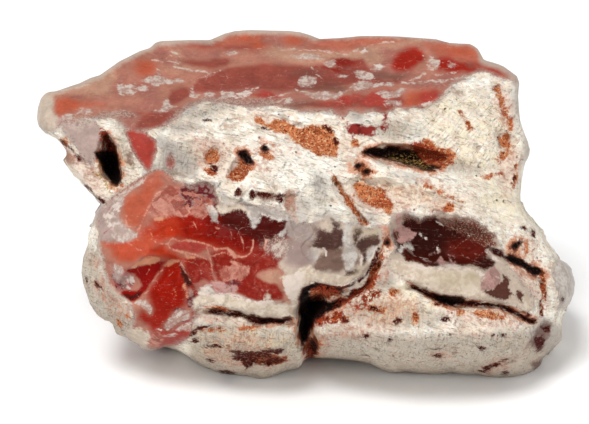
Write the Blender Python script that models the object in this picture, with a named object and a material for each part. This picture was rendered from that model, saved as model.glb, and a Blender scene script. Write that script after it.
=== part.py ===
"""A rough lump of chalcedony: a broken pink and red slab on top, with rounded lobes of white rind below it.

The stone is drawn from the front, looking down on it a little. Every place on that front drawing is a pixel
of the drawing (x to the right, y down), and PIXEL turns it into metres. The third number of a place is its
depth: how far it stands towards the viewer from the heart of the stone, in millimetres.
"""

import math

import bmesh
import bpy
import numpy as np

# Driving dimensions, in metres unless the name says otherwise.
STONE_WIDTH = 0.090
VIEW_TILT = math.radians(25)
EYE_DISTANCE = 0.45
MILLIMETRE = 0.001

# The front drawing, in its own pixels.
DRAWING_MIDDLE = (294.5, 212.0)
OUTLINE_WIDTH = 538.0
PIXEL = STONE_WIDTH / OUTLINE_WIDTH
HEART = (306.5, 205.5)
HEART_HEIGHT = 0.0248

# Mesh density.
GRID_CUTS = 95
FRONT_SHARE = 0.35
GRID_PROPORTIONS = (45, 29, 27)
TRIANGLES_KEPT = 9400

# The stone's outline on the front drawing, clockwise from its left tip.
OUTLINE = [
    (37, 118), (38, 108), (41, 98), (47, 92), (57, 91), (65, 88), (80, 83), (90, 78), (100, 75),
    (107, 70), (120, 61), (130, 56), (140, 51), (150, 48), (155, 43), (160, 41), (190, 40), (210, 40),
    (217, 37), (225, 33.5), (235, 31), (250, 30), (290, 31), (300, 32), (310, 35), (320, 39), (340, 38),
    (360, 36), (380, 36), (400, 36.5), (420, 38), (435, 39), (450, 43), (471, 44), (478, 49), (484, 60),
    (495, 63), (503, 66), (510, 71), (517, 76), (519.5, 83), (518, 93), (519, 108), (520, 120),
    (524, 132), (528, 142), (530, 150), (528, 158), (525, 163), (522, 178), (520, 200), (524, 210),
    (530, 219), (538, 228), (545, 238), (553, 250), (560, 261), (566, 263), (571, 268), (575, 283),
    (573, 295), (569, 303), (564, 309), (561, 320), (560, 340), (556, 346), (548, 352), (543, 358),
    (541, 365), (536, 371), (528, 376), (515, 379.5), (503, 380), (490, 378.5), (480, 376), (465, 376),
    (455, 373.5), (435, 376), (415, 374), (405, 372.5), (398, 375), (390, 374), (380, 370), (372, 365),
    (360, 362), (340, 359.5), (320, 358.5), (310, 358), (304, 360), (302, 366), (297, 370), (285, 373),
    (275, 378), (265, 382), (258, 382.5), (252, 380), (245, 378), (230, 376.5), (220, 375), (210, 370),
    (200, 366), (190, 358), (180, 351), (170, 347), (163, 347), (157, 349.5), (150, 350.5), (143, 348),
    (137, 343), (130, 339), (120, 334), (114, 329), (112, 322), (105, 320), (97, 315), (90, 304),
    (87, 295), (83, 283), (81.5, 272), (83, 258), (88, 244), (90, 232), (93, 222), (97, 212), (102, 204),
    (95, 197), (88, 190), (80, 180), (72, 172), (65, 163), (63, 160), (67, 155), (66, 150), (60, 142),
    (53, 136), (49, 132), (45, 134), (41, 131), (38, 124),
]

# The broad faces that bound the stone: outward direction (right, back, up), and how far each lies from the
# heart in mm.
FACES = {
    "top break": ((0.02, -0.20, 1.00), 20.0),
    "front wall": ((0.03, -1.00, 0.10), 16.5),
    "front underside": ((0.00, -0.70, -0.72), 22.0),
    "ground": ((0.00, 0.00, -1.00), 25.5),
    "back": ((0.08, 1.00, 0.10), 21.0),
    "back underside": ((-0.10, 0.75, -0.66), 23.0),
    "back left": ((-0.60, 0.80, 0.10), 27.0),
    "back right": ((0.72, 0.68, 0.12), 32.0),
    "left tip": ((-0.92, -0.10, 0.38), 42.0),
    "left underside": ((-0.75, -0.05, -0.66), 33.0),
    "right": ((1.00, -0.10, 0.20), 37.0),
    "right foot": ((0.94, 0.05, -0.35), 41.0),
}
FACE_SHARPNESS = 11
BROAD_STRETCH_TURN = 40

# The broken top face: its front edge on the drawing, its depth in mm at the drawing row TOP_ROW, the depth
# that it gains with each row further down, and the long low waves of the break across it.
TOP_EDGE = [
    (30, 119), (85, 119), (100, 121), (120, 128), (140, 130), (150, 127), (165, 118), (175, 110),
    (190, 103), (205, 101), (225, 103), (250, 106), (290, 109), (330, 111), (345, 115), (375, 112),
    (400, 108), (425, 107), (437, 100), (450, 95), (460, 89), (470, 79), (480, 73), (495, 75), (515, 82),
    (580, 95),
]
TOP_ROW = 30
TOP_DEPTH = -6.2
TOP_SLOPE = 0.228
TOP_WAVES = {"size": (75, 15), "height": 0.5}

# Lines across the front below that edge, from the top down: where each runs on the drawing, and its depth.
FRONT_LINES = {
    "upper crest": [
        (30, 126, 14.4), (60, 132, 14.6), (100, 142, 15.8), (150, 150, 17.0), (205, 135, 14.6),
        (250, 150, 17.0), (300, 172, 19.6), (350, 166, 18.6), (400, 142, 15.0), (450, 140, 13.0),
        (500, 140, 9.0), (580, 150, 2.0),
    ],
    "waist": [
        (30, 150, 12.0), (60, 152, 12.0), (100, 192, 13.2), (150, 174, 16.8), (205, 182, 16.4),
        (250, 200, 19.0), (300, 206, 21.0), (350, 192, 20.0), (400, 173, 18.8), (450, 180, 17.8),
        (500, 202, 14.0), (540, 228, 8.0), (580, 240, 2.0),
    ],
    "upper front": [
        (80, 215, 13.0), (100, 215, 15.0), (150, 202, 18.8), (205, 208, 19.2), (250, 216, 20.0),
        (300, 222, 22.0), (350, 226, 22.4), (400, 213, 20.3), (450, 211, 19.2), (500, 224, 16.0),
        (540, 246, 10.8), (580, 262, 3.0),
    ],
    "middle front": [
        (80, 255, 14.0), (100, 255, 17.0), (150, 246, 20.6), (205, 256, 21.2), (250, 260, 21.6),
        (300, 258, 22.7), (350, 255, 22.6), (400, 242, 19.2), (450, 241, 18.0), (500, 256, 16.4),
        (540, 268, 12.0), (580, 275, 4.5),
    ],
    "lower edge": [
        (80, 285, 13.0), (100, 290, 16.5), (150, 298, 19.8), (205, 304, 21.2), (250, 310, 21.6),
        (300, 288, 22.0), (350, 282, 21.6), (400, 276, 21.3), (450, 287, 20.8), (500, 292, 19.0),
        (540, 292, 15.0), (580, 288, 7.0),
    ],
    "undercut": [
        (80, 300, 12.0), (100, 302, 15.0), (150, 318, 18.2), (205, 314, 19.3), (250, 322, 19.0),
        (300, 306, 18.6), (350, 298, 19.0), (400, 288, 20.0), (450, 304, 19.4), (500, 309, 17.8),
        (540, 318, 14.2), (580, 302, 6.5),
    ],
    "foot crest": [
        (80, 310, 11.0), (100, 312, 13.5), (150, 334, 16.2), (205, 340, 17.6), (250, 350, 17.0),
        (300, 335, 17.4), (350, 330, 20.2), (400, 332, 21.2), (450, 336, 21.0), (500, 342, 19.0),
        (540, 342, 14.8), (580, 320, 6.0),
    ],
    "foot": [
        (80, 325, 7.0), (100, 327, 9.0), (150, 352, 11.0), (205, 372, 12.0), (250, 384, 11.0),
        (300, 366, 13.0), (350, 364, 15.5), (400, 378, 15.5), (450, 378, 15.5), (500, 384, 12.5),
        (540, 374, 9.0), (580, 345, 3.0),
    ],
}
LINE_ROUNDING = (18, 5)

# Swellings of the front: middle and half sizes in pixels, turn in degrees clockwise, height in mm.
SWELLINGS = {
    "left rind": {"middle": (112, 232), "half": (24, 50), "turn": 12, "height": 1.2},
    "crust left of the ridge": {"middle": (196, 128), "half": (34, 22), "turn": 20, "height": 1.2},
    "ridge crest": {"middle": (286, 178), "half": (60, 15), "turn": 26, "height": 1.4},
    "bright knuckle": {"middle": (150, 142), "half": (18, 14), "turn": 0, "height": 1.0},
    "crust above the cavity": {"middle": (376, 130), "half": (34, 12), "turn": 4, "height": 1.0},
    "right crust wall": {"middle": (470, 128), "half": (30, 40), "turn": 12, "height": 1.6},
    "right ridge crest": {"middle": (448, 186), "half": (74, 12), "turn": 14, "height": 1.3},
    "milky corner": {"middle": (296, 276), "half": (20, 22), "turn": 0, "height": 1.2},
    "grey nose": {"middle": (352, 240), "half": (36, 30), "turn": -20, "height": 0.8},
    "shelf": {"middle": (446, 280), "half": (70, 17), "turn": 8, "height": 1.4},
    "right lobe": {"middle": (420, 338), "half": (70, 34), "turn": 0, "height": 1.5},
    "right lobe end": {"middle": (510, 345), "half": (38, 34), "turn": 0, "height": 1.2},
    "left foot": {"middle": (246, 344), "half": (48, 22), "turn": 4, "height": 1.0},
    "right knob": {"middle": (562, 284), "half": (18, 24), "turn": 0, "height": 1.6},
    "lower left shoulder": {"middle": (128, 312), "half": (30, 22), "turn": 35, "height": 1.2},
    "top face step": {"middle": (420, 62), "half": (60, 16), "turn": 4, "height": 0.9},
    "top face hump": {"middle": (230, 62), "half": (80, 14), "turn": -4, "height": 0.8},
}

# Hollows sunk into the front: middle and half sizes in pixels, turn in degrees clockwise, depth in mm, and
# how flat the floor is (2 is a bowl).
HOLLOWS = {
    "left hole": {"middle": (109, 157), "half": (11, 32), "turn": -16, "sunk": 7.5, "flat": 4},
    "dark cavity": {"middle": (405, 156), "half": (50, 12), "turn": 4, "sunk": 5.5, "flat": 3},
    "rusty recess": {"middle": (296, 134), "half": (50, 12), "turn": 22, "sunk": 2.6, "flat": 4},
    "ridge pit": {"middle": (240, 165), "half": (8, 18), "turn": 38, "sunk": 3.0, "flat": 3},
    "small pit": {"middle": (212, 156), "half": (9, 10), "turn": 10, "sunk": 1.8, "flat": 3},
    "right pit": {"middle": (503, 140), "half": (9, 10), "turn": 0, "sunk": 2.6, "flat": 3},
    "rusty field": {"middle": (372, 192), "half": (42, 15), "turn": 12, "sunk": 1.2, "flat": 4},
    "dark window": {"middle": (442, 242), "half": (56, 24), "turn": 14, "sunk": 1.8, "flat": 4},
    "red hollow": {"middle": (148, 280), "half": (36, 20), "turn": -30, "sunk": 2.4, "flat": 2},
    "red bowl": {"middle": (200, 262), "half": (48, 26), "turn": 10, "sunk": 1.4, "flat": 2},
    "maroon scoop": {"middle": (238, 214), "half": (40, 14), "turn": 14, "sunk": 1.2, "flat": 2},
    "foot pit": {"middle": (256, 357), "half": (30, 10), "turn": -2, "sunk": 2.2, "flat": 3},
}

# Clefts: the line they follow on the drawing, half width in pixels and depth in mm.
CLEFTS = {
    "middle cleft": {"path": [(316, 302), (304, 312), (304, 334), (309, 354)], "half": 10, "sunk": 8.0},
    "groove under the grey nose": {
        "path": [(312, 302), (336, 296), (356, 289), (372, 274), (381, 242)], "half": 9, "sunk": 3.6},
    "slit under the shelf": {
        "path": [(410, 286), (430, 297), (452, 304), (474, 304), (500, 308), (532, 321)],
        "half": 7, "sunk": 4.5},
    "slit in the right end": {
        "path": [(492, 252), (512, 260), (534, 270), (542, 290), (541, 316)], "half": 6, "sunk": 3.0},
    "undercut of the red lobe": {
        "path": [(206, 310), (234, 313), (256, 320), (290, 321)], "half": 7, "sunk": 3.0},
    "right foot cleft": {"path": [(544, 324), (540, 344), (538, 362)], "half": 8, "sunk": 2.4},
    "low slit": {"path": [(474, 371), (490, 366), (512, 359)], "half": 5, "sunk": 2.0},
    "crease below the ridge": {"path": [(334, 180), (346, 198), (366, 224)], "half": 6, "sunk": 1.8},
    "wall slot": {"path": [(497, 88), (506, 106), (510, 130)], "half": 5, "sunk": 1.6},
    "waist of the red lobe": {
        "path": [(100, 204), (130, 184), (155, 171), (190, 185), (214, 190)], "half": 7, "sunk": 1.2},
}

# Roughness: size of its lumps in mm, and their height in mm.
ROUGHNESS = [(14.0, 0.9), (6.5, 0.55), (3.2, 0.25)]
BACK_ROUGHNESS = 1.6

# How far the edges of the drawn features wander: size of the bends and their reach, in pixels.
EDGE_WANDER = (16, 3.0)

# How late the front turns in to the rim: rounder at the foot, crisp round the broken top face.
BOTTOM_EDGE_POWER = 9
TOP_EDGE_POWER = 24


def lattice_noise(places, seed):
    """Smooth noise from -1 to 1: hashed values at whole-number places, blended with smoothsteps between."""
    cell = np.floor(places)
    share = places - cell
    share = share * share * (3 - 2 * share)
    total = np.zeros(len(places))
    for corner in np.ndindex(*(2,) * places.shape[1]):
        at = cell + corner
        wave = np.sin(at @ np.array((127.1, 311.7, 74.7)[:places.shape[1]]) + 17.3 * seed) * 43758.5453
        weight = np.prod(np.where(corner, share, 1 - share), axis=1)
        total += weight * (wave - np.floor(wave))
    return 2 * total - 1


def grid_directions(cube_points):
    """Points of a cube's skin as directions from the heart: right, up the drawing, to the viewer.

    Tangents even out the spacing, and the angle from the viewing line then shrinks, so that the front gets
    more than half of the points.
    """
    even = np.tan(cube_points * math.pi / 4)
    even /= np.linalg.norm(even, axis=1, keepdims=True)
    angle = np.arccos(np.clip(even[:, 2], -1, 1))
    drawn_in = angle - FRONT_SHARE * np.sin(angle)
    around = even[:, :2] / np.maximum(np.linalg.norm(even[:, :2], axis=1, keepdims=True), 1e-9)
    ball = np.column_stack([around * np.sin(drawn_in)[:, None], np.cos(drawn_in)])
    stretched = ball * np.array(GRID_PROPORTIONS, float)
    return stretched / np.linalg.norm(stretched, axis=1, keepdims=True)


def to_stone_axes(drawn):
    """Turns (right, up the drawing, to the viewer) into (right, back, up)."""
    across, upward, near = drawn.T
    back = upward * math.sin(VIEW_TILT) - near * math.cos(VIEW_TILT)
    height = upward * math.cos(VIEW_TILT) + near * math.sin(VIEW_TILT)
    return np.column_stack([across, back, height])


def reach(directions):
    """Distance in mm from the heart to the rounded solid that FACES bound, along each direction.

    1 / reach is the p-norm of n.d / h over the faces, which rounds their edges more the smaller p is.
    """
    facing = to_stone_axes(directions)
    total = np.zeros(len(facing))
    for normal, distance in FACES.values():
        outward = np.array(normal) / np.linalg.norm(normal)
        total += np.clip(facing @ outward / distance, 0, None) ** FACE_SHARPNESS
    return total ** (-1 / FACE_SHARPNESS)


def rim_of_faces(turns, steps=181):
    """For each angle round the drawing, how far in mm the solid of FACES reaches, and its depth there."""
    fall = np.linspace(0, math.pi, steps)
    turn, drop = np.meshgrid(turns, fall, indexing="ij")
    rays = np.stack([np.cos(turn) * np.sin(drop), np.sin(turn) * np.sin(drop), np.cos(drop)], axis=-1)
    distance = reach(rays.reshape(-1, 3)).reshape(turn.shape)
    across = distance * np.sin(drop)
    widest = across.argmax(axis=1)
    rows = np.arange(len(turns))
    return across[rows, widest], (distance * np.cos(drop))[rows, widest]


def outline_reach(turns):
    """How far in mm the drawn outline lies from the heart at each angle round the drawing."""
    points = (np.array(OUTLINE, float) - HEART) * (1, -1) * PIXEL / MILLIMETRE
    sides = zip(points, np.roll(points, -1, axis=0))
    dense = np.concatenate([np.linspace(start, end, 8, endpoint=False) for start, end in sides])
    angles = np.arctan2(dense[:, 1], dense[:, 0])
    order = np.argsort(angles)
    return np.interp(turns, angles[order], np.linalg.norm(dense, axis=1)[order], period=2 * math.pi)


def ring_average(values, half_width):
    """Mean of a ring of values over half_width neighbours on each side."""
    shifts = range(-half_width, half_width + 1)
    return sum(np.roll(values, shift) for shift in shifts) / len(shifts)


def turned(pixels, feature):
    """Drawing pixels as shares of a feature's half sizes, on its own turned axes."""
    offset = pixels - np.array(feature["middle"], float)
    angle = math.radians(feature["turn"])
    along = offset @ (math.cos(angle), math.sin(angle))
    across = offset @ (-math.sin(angle), math.cos(angle))
    return along / feature["half"][0], across / feature["half"][1]


def distance_to_path(pixels, path):
    """Distance in pixels from each point to a line of straight stretches."""
    nearest = np.full(len(pixels), np.inf)
    for start, end in zip(path[:-1], path[1:]):
        start, run = np.array(start, float), np.subtract(end, start).astype(float)
        share = np.clip((pixels - start) @ run / (run @ run), 0, 1)
        nearest = np.minimum(nearest, np.linalg.norm(pixels - start - share[:, None] * run, axis=1))
    return nearest


def lined_depth(across, down):
    """Depth between the lines of the front: straight from each line to the next one down the drawing."""
    row = np.interp(across, *np.array(TOP_EDGE, float).T)
    depth = TOP_DEPTH + TOP_SLOPE * (row - TOP_ROW)
    result = depth + TOP_SLOPE * (down - row)
    for line in FRONT_LINES.values():
        columns, rows, depths = np.array(line, float).T
        next_row = np.maximum(np.interp(across, columns, rows), row + 3)
        next_depth = np.interp(across, columns, depths)
        share = (down - row) / (next_row - row)
        result = np.where(share > 0, depth + (next_depth - depth) * share, result)
        row, depth = next_row, next_depth
    return result


def front_depth(pixels):
    """Depth in mm of the stone's front at each drawing pixel."""
    wander = np.column_stack([lattice_noise(pixels / EDGE_WANDER[0], seed) for seed in (1, 2)])
    pixels = pixels + wander * EDGE_WANDER[1]
    across, down = pixels.T
    steps = np.linspace(-1, 1, 5)
    depth = sum(lined_depth(across + i * LINE_ROUNDING[0], down + j * LINE_ROUNDING[1])
                for i in steps for j in steps) / len(steps) ** 2
    edge_row = np.interp(across, *np.array(TOP_EDGE, float).T)
    on_top = np.clip((edge_row - down) / 10, 0, 1)
    depth += TOP_WAVES["height"] * on_top * lattice_noise(pixels / TOP_WAVES["size"], seed=9)
    for swelling in SWELLINGS.values():
        along, side = turned(pixels, swelling)
        depth += swelling["height"] * np.clip(1 - (along ** 2 + side ** 2) / 2, 0, None) ** 2
    for hollow in HOLLOWS.values():
        along, side = turned(pixels, hollow)
        bowl = np.clip(1 - (along ** 2 + side ** 2) ** (hollow["flat"] / 2), 0, None)
        depth -= hollow["sunk"] * bowl ** 0.75
    for cleft in CLEFTS.values():
        share = np.clip(1 - distance_to_path(pixels, cleft["path"]) / cleft["half"], 0, None)
        depth -= cleft["sunk"] * share * (2 - share)
    return depth


def stone_points(cube_points):
    """The stone's skin in metres: one point for each point of a cube's skin.

    The solid of FACES is stretched within the drawing until its rim is the outline, and its front is then
    moved along the viewing line to the depth of the drawn lines and hollows, with a rounded turn at the rim.
    The roughness moves the back outwards and the front along the viewing line, and fades at the rim.
    """
    directions = grid_directions(cube_points)
    distance = reach(directions)
    turn = np.arctan2(directions[:, 1], directions[:, 0])
    turns = np.linspace(-math.pi, math.pi, 1440, endpoint=False)
    rim, rim_depth = rim_of_faces(turns)
    stretch = outline_reach(turns) / rim
    broad_stretch = ring_average(stretch, 2 * BROAD_STRETCH_TURN)
    rings = (rim, rim_depth, stretch, broad_stretch)
    rim, rim_depth, stretch, broad_stretch = (np.interp(turn, turns, r, period=2 * math.pi) for r in rings)
    across = distance * np.hypot(directions[:, 0], directions[:, 1])
    depth = distance * directions[:, 2]
    share = np.clip(across / rim, 0, 1)
    broad = share * share * (3 - 2 * share)
    across = across * (1 + (broad_stretch - 1) * broad + (stretch - broad_stretch) * share ** 5)
    drawn = np.column_stack([across * np.cos(turn), across * np.sin(turn)])
    rough = sum(height * lattice_noise(np.column_stack([drawn, depth]) / size, seed)
                for seed, (size, height) in enumerate(ROUGHNESS, start=3))
    pixels = drawn * (1, -1) * MILLIMETRE / PIXEL + HEART
    in_front = depth > rim_depth
    upper = np.clip(1.5 * np.sin(turn), 0, 1)
    edge_power = BOTTOM_EDGE_POWER + (TOP_EDGE_POWER - BOTTOM_EDGE_POWER) * upper
    inner = np.sqrt(1 - share ** edge_power)
    depth = np.where(in_front, depth + (front_depth(pixels) + rough - depth) * inner, depth)
    outward = 1 + np.where(in_front, 0, BACK_ROUGHNESS * rough * inner / distance)
    drawn = drawn * outward[:, None]
    depth = depth * outward
    nearer = 1 - depth * MILLIMETRE / EYE_DISTANCE
    heart_to_middle = np.subtract(HEART, DRAWING_MIDDLE) * (1, -1) * PIXEL
    on_paper = drawn * MILLIMETRE + heart_to_middle
    placed = np.column_stack([on_paper * nearer[:, None] - heart_to_middle, depth * MILLIMETRE])
    return to_stone_axes(placed) + (0, 0, HEART_HEIGHT)


def make_material(name, colour, roughness):
    """A plain surface of one colour."""
    material = bpy.data.materials.new(name)
    material.use_nodes = True
    shader = material.node_tree.nodes["Principled BSDF"]
    shader.inputs["Base Color"].default_value = (*colour, 1)
    shader.inputs["Roughness"].default_value = roughness
    shader.inputs["Metallic"].default_value = 0
    return material


def make_ground_cutter(collection):
    """A block whose top is the ground: what the stone would sink below it is cut off flat."""
    bpy.ops.mesh.primitive_cube_add(size=1, location=(0, 0, -0.05))
    block = bpy.context.object
    block.name = "ground_cutter"
    block.scale = (0.2, 0.2, 0.1)
    bpy.ops.object.transform_apply(location=False, rotation=False, scale=True)
    block.display_type = "WIRE"
    block.hide_render = True
    for owner in block.users_collection:
        owner.objects.unlink(block)
    collection.objects.link(block)
    return block


def make_stone(collection, ground):
    """The whole stone: a cube cut into a grid, moved to the stone's skin, thinned and cut off flat below."""
    mesh = bpy.data.meshes.new("chalcedony")
    grid = bmesh.new()
    bmesh.ops.create_cube(grid, size=2)
    bmesh.ops.subdivide_edges(grid, edges=grid.edges[:], cuts=GRID_CUTS, use_grid_fill=True)
    grid.to_mesh(mesh)
    grid.free()
    flat = np.empty(len(mesh.vertices) * 3)
    mesh.vertices.foreach_get("co", flat)
    points = stone_points(flat.reshape(-1, 3))
    middle = (points.min(axis=0) + points.max(axis=0)) / 2
    points[:, :2] -= middle[:2]
    mesh.vertices.foreach_set("co", points.ravel())
    mesh.shade_smooth()
    mesh.update()
    stone = bpy.data.objects.new("chalcedony", mesh)
    collection.objects.link(stone)
    stone.data.materials.append(make_material("chalcedony", (0.62, 0.36, 0.30), 0.5))
    thin = stone.modifiers.new("thin", "DECIMATE")
    mesh.calc_loop_triangles()
    thin.ratio = TRIANGLES_KEPT / len(mesh.loop_triangles)
    base = stone.modifiers.new("base", "BOOLEAN")
    base.operation = "DIFFERENCE"
    base.object = ground
    return stone


def main():
    for old in list(bpy.data.objects):
        bpy.data.objects.remove(old, do_unlink=True)
    parts = bpy.data.collections.new("rough_chalcedony")
    cutters = bpy.data.collections.new("cutters")
    for collection in (parts, cutters):
        bpy.context.scene.collection.children.link(collection)
    make_stone(parts, make_ground_cutter(cutters))


main()
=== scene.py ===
import math

import bpy
import numpy as np
from mathutils import Matrix, Vector


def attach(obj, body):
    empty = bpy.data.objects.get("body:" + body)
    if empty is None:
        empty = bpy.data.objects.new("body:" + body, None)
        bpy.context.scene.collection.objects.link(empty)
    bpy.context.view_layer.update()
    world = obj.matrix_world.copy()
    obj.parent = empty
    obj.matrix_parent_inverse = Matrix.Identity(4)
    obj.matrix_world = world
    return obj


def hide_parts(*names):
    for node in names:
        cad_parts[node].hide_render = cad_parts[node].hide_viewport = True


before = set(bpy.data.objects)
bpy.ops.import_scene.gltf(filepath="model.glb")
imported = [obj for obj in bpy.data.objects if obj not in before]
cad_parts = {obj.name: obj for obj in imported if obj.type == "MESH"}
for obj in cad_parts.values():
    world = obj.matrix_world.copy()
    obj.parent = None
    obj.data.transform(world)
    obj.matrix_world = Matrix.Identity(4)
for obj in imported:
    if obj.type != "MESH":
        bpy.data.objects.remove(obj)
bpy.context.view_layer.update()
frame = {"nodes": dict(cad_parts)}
print("frame loaded:", ", ".join(frame["nodes"]))

# The front drawing and the eye it is seen from.
drawing = {
    "stoneWidth": 0.090,        # metres across the drawn outline
    "outlineWidth": 538,        # the same in pixels
    "imageWidth": 589,          # pixels
    "middle": (294.5, 212.0),   # where the viewing line meets the drawing
    "heart": (306.5, 205.5),    # the stone's heart on the drawing
    "heartHeight": 0.0248,      # metres above the ground
    "tilt": math.radians(25),   # how far the eye looks down
    "eyeDistance": 0.45,        # metres from the heart's depth
}
millimetre = 0.001
pixel = drawing["stoneWidth"] / drawing["outlineWidth"]

# The stone's whole form, as the solid that it replaces has it.
form = {
    "gridCuts": 128,            # squares along each edge of the cube that becomes the skin
    "frontShare": 0.45,         # how far the grid is drawn in towards the viewer
    "proportions": (45, 29, 27),
    "outline": [
        (37, 118), (38, 108), (41, 98), (47, 92), (57, 91), (65, 88), (80, 83), (90, 78), (100, 75),
        (107, 70), (120, 61), (130, 56), (140, 51), (150, 48), (155, 43), (160, 41), (190, 40), (210, 40),
        (217, 37), (225, 33.5), (235, 31), (250, 30), (290, 31), (300, 32), (310, 35), (320, 39), (340, 38),
        (360, 36), (380, 36), (400, 36.5), (420, 38), (435, 39), (450, 43), (471, 44), (478, 49), (484, 60),
        (495, 63), (503, 66), (510, 71), (517, 76), (519.5, 83), (518, 93), (519, 108), (520, 120),
        (524, 132), (528, 142), (530, 150), (528, 158), (525, 163), (522, 178), (520, 200), (524, 210),
        (530, 219), (538, 228), (545, 238), (553, 250), (560, 261), (566, 263), (571, 268), (575, 283),
        (573, 295), (569, 303), (564, 309), (561, 320), (560, 340), (556, 346), (548, 352), (543, 358),
        (541, 365), (536, 371), (528, 376), (515, 379.5), (503, 380), (490, 378.5), (480, 376), (465, 376),
        (455, 373.5), (435, 376), (415, 374), (405, 372.5), (398, 375), (390, 374), (380, 370), (372, 365),
        (360, 362), (340, 359.5), (320, 358.5), (310, 358), (304, 360), (302, 366), (297, 370), (285, 373),
        (275, 378), (265, 382), (258, 382.5), (252, 380), (245, 378), (230, 376.5), (220, 375), (210, 370),
        (200, 366), (190, 358), (180, 351), (170, 347), (163, 347), (157, 349.5), (150, 350.5), (143, 348),
        (137, 343), (130, 339), (120, 334), (114, 329), (112, 322), (105, 320), (97, 315), (90, 304),
        (87, 295), (83, 283), (81.5, 272), (83, 258), (88, 244), (90, 232), (93, 222), (97, 212), (102, 204),
        (95, 197), (88, 190), (80, 180), (72, 172), (65, 163), (63, 160), (67, 155), (66, 150), (60, 142),
        (53, 136), (49, 132), (45, 134), (41, 131), (38, 124)],
    # broad faces: outward direction (right, back, up) and distance from the heart in mm
    "faces": [
        ((0.02, -0.20, 1.00), 20.0), ((0.03, -1.00, 0.10), 16.5), ((0.00, -0.70, -0.72), 22.0),
        ((0.00, 0.00, -1.00), 25.5), ((0.08, 1.00, 0.10), 21.0), ((-0.10, 0.75, -0.66), 23.0),
        ((-0.60, 0.80, 0.10), 27.0), ((0.72, 0.68, 0.12), 32.0), ((-0.92, -0.10, 0.38), 42.0),
        ((-0.75, -0.05, -0.66), 33.0), ((1.00, -0.10, 0.20), 37.0), ((0.94, 0.05, -0.35), 41.0)],
    "faceSharpness": 11,
    "turnSteps": 1440,          # angles round the outline
    "broadStretchTurn": 40,     # degrees over which the stretch to the outline is evened out
    "stretchPower": 5,          # how near the rim the rest of that stretch stays
    "bottomEdgePower": 9,       # how late the front turns in to the rim
    "topEdgePower": 24,
    "edgeWander": (16, 3.0),
    "roughness": [(14.0, 0.9), (6.5, 0.55), (3.2, 0.25)],
    "backRoughness": 1.6,
}

# Lines across the front from the top down: (x, y, depth).
frontLines = {
    "upperCrest": [
        (30, 126, 14.4), (60, 132, 14.6), (100, 142, 15.8), (150, 150, 17), (205, 135, 14.6), (250, 150, 17),
        (300, 172, 19.6), (350, 166, 18.6), (400, 142, 15), (450, 140, 13), (500, 140, 9), (580, 150, 2)],
    "waist": [
        (30, 150, 12), (60, 152, 12), (100, 192, 13.2), (150, 174, 16.8), (205, 182, 16.4), (250, 200, 19),
        (300, 206, 21), (350, 192, 20), (400, 173, 18.8), (450, 180, 17.8), (500, 202, 14), (540, 228, 8),
        (580, 240, 2)],
    "upperFront": [
        (80, 215, 13), (100, 215, 15), (150, 202, 18.8), (205, 208, 19.2), (250, 216, 20), (300, 222, 22),
        (350, 226, 22.4), (400, 213, 20.3), (450, 211, 19.2), (500, 224, 16), (540, 246, 10.8),
        (580, 262, 3)],
    "middleFront": [
        (80, 255, 14), (100, 255, 17), (150, 246, 20.6), (205, 256, 21.2), (250, 260, 21.6),
        (300, 258, 22.7), (350, 255, 22.6), (400, 242, 19.2), (450, 241, 18), (500, 256, 16.4),
        (540, 268, 12), (580, 275, 4.5)],
    "lowerEdge": [
        (80, 285, 13), (100, 290, 16.5), (150, 298, 19.8), (205, 304, 21.2), (250, 310, 21.6),
        (300, 288, 22), (350, 282, 21.6), (400, 276, 21.3), (450, 287, 20.8), (500, 292, 19), (540, 292, 15),
        (580, 288, 7)],
    "undercut": [
        (80, 300, 12), (100, 302, 15), (150, 318, 18.2), (205, 314, 19.3), (250, 322, 19), (300, 306, 18.6),
        (350, 298, 19), (400, 288, 20), (450, 304, 19.4), (500, 309, 17.8), (540, 318, 14.2),
        (580, 302, 6.5)],
    "footCrest": [
        (80, 310, 11), (100, 312, 13.5), (150, 334, 16.2), (205, 340, 17.6), (250, 350, 17),
        (300, 335, 17.4), (350, 330, 20.2), (400, 332, 21.2), (450, 336, 21), (500, 342, 19),
        (540, 342, 14.8), (580, 320, 6)],
    "foot": [
        (80, 325, 7), (100, 327, 9), (150, 352, 11), (205, 372, 12), (250, 384, 11), (300, 366, 13),
        (350, 364, 15.5), (400, 378, 15.5), (450, 378, 15.5), (500, 384, 12.5), (540, 374, 9),
        (580, 345, 3)]}

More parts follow.
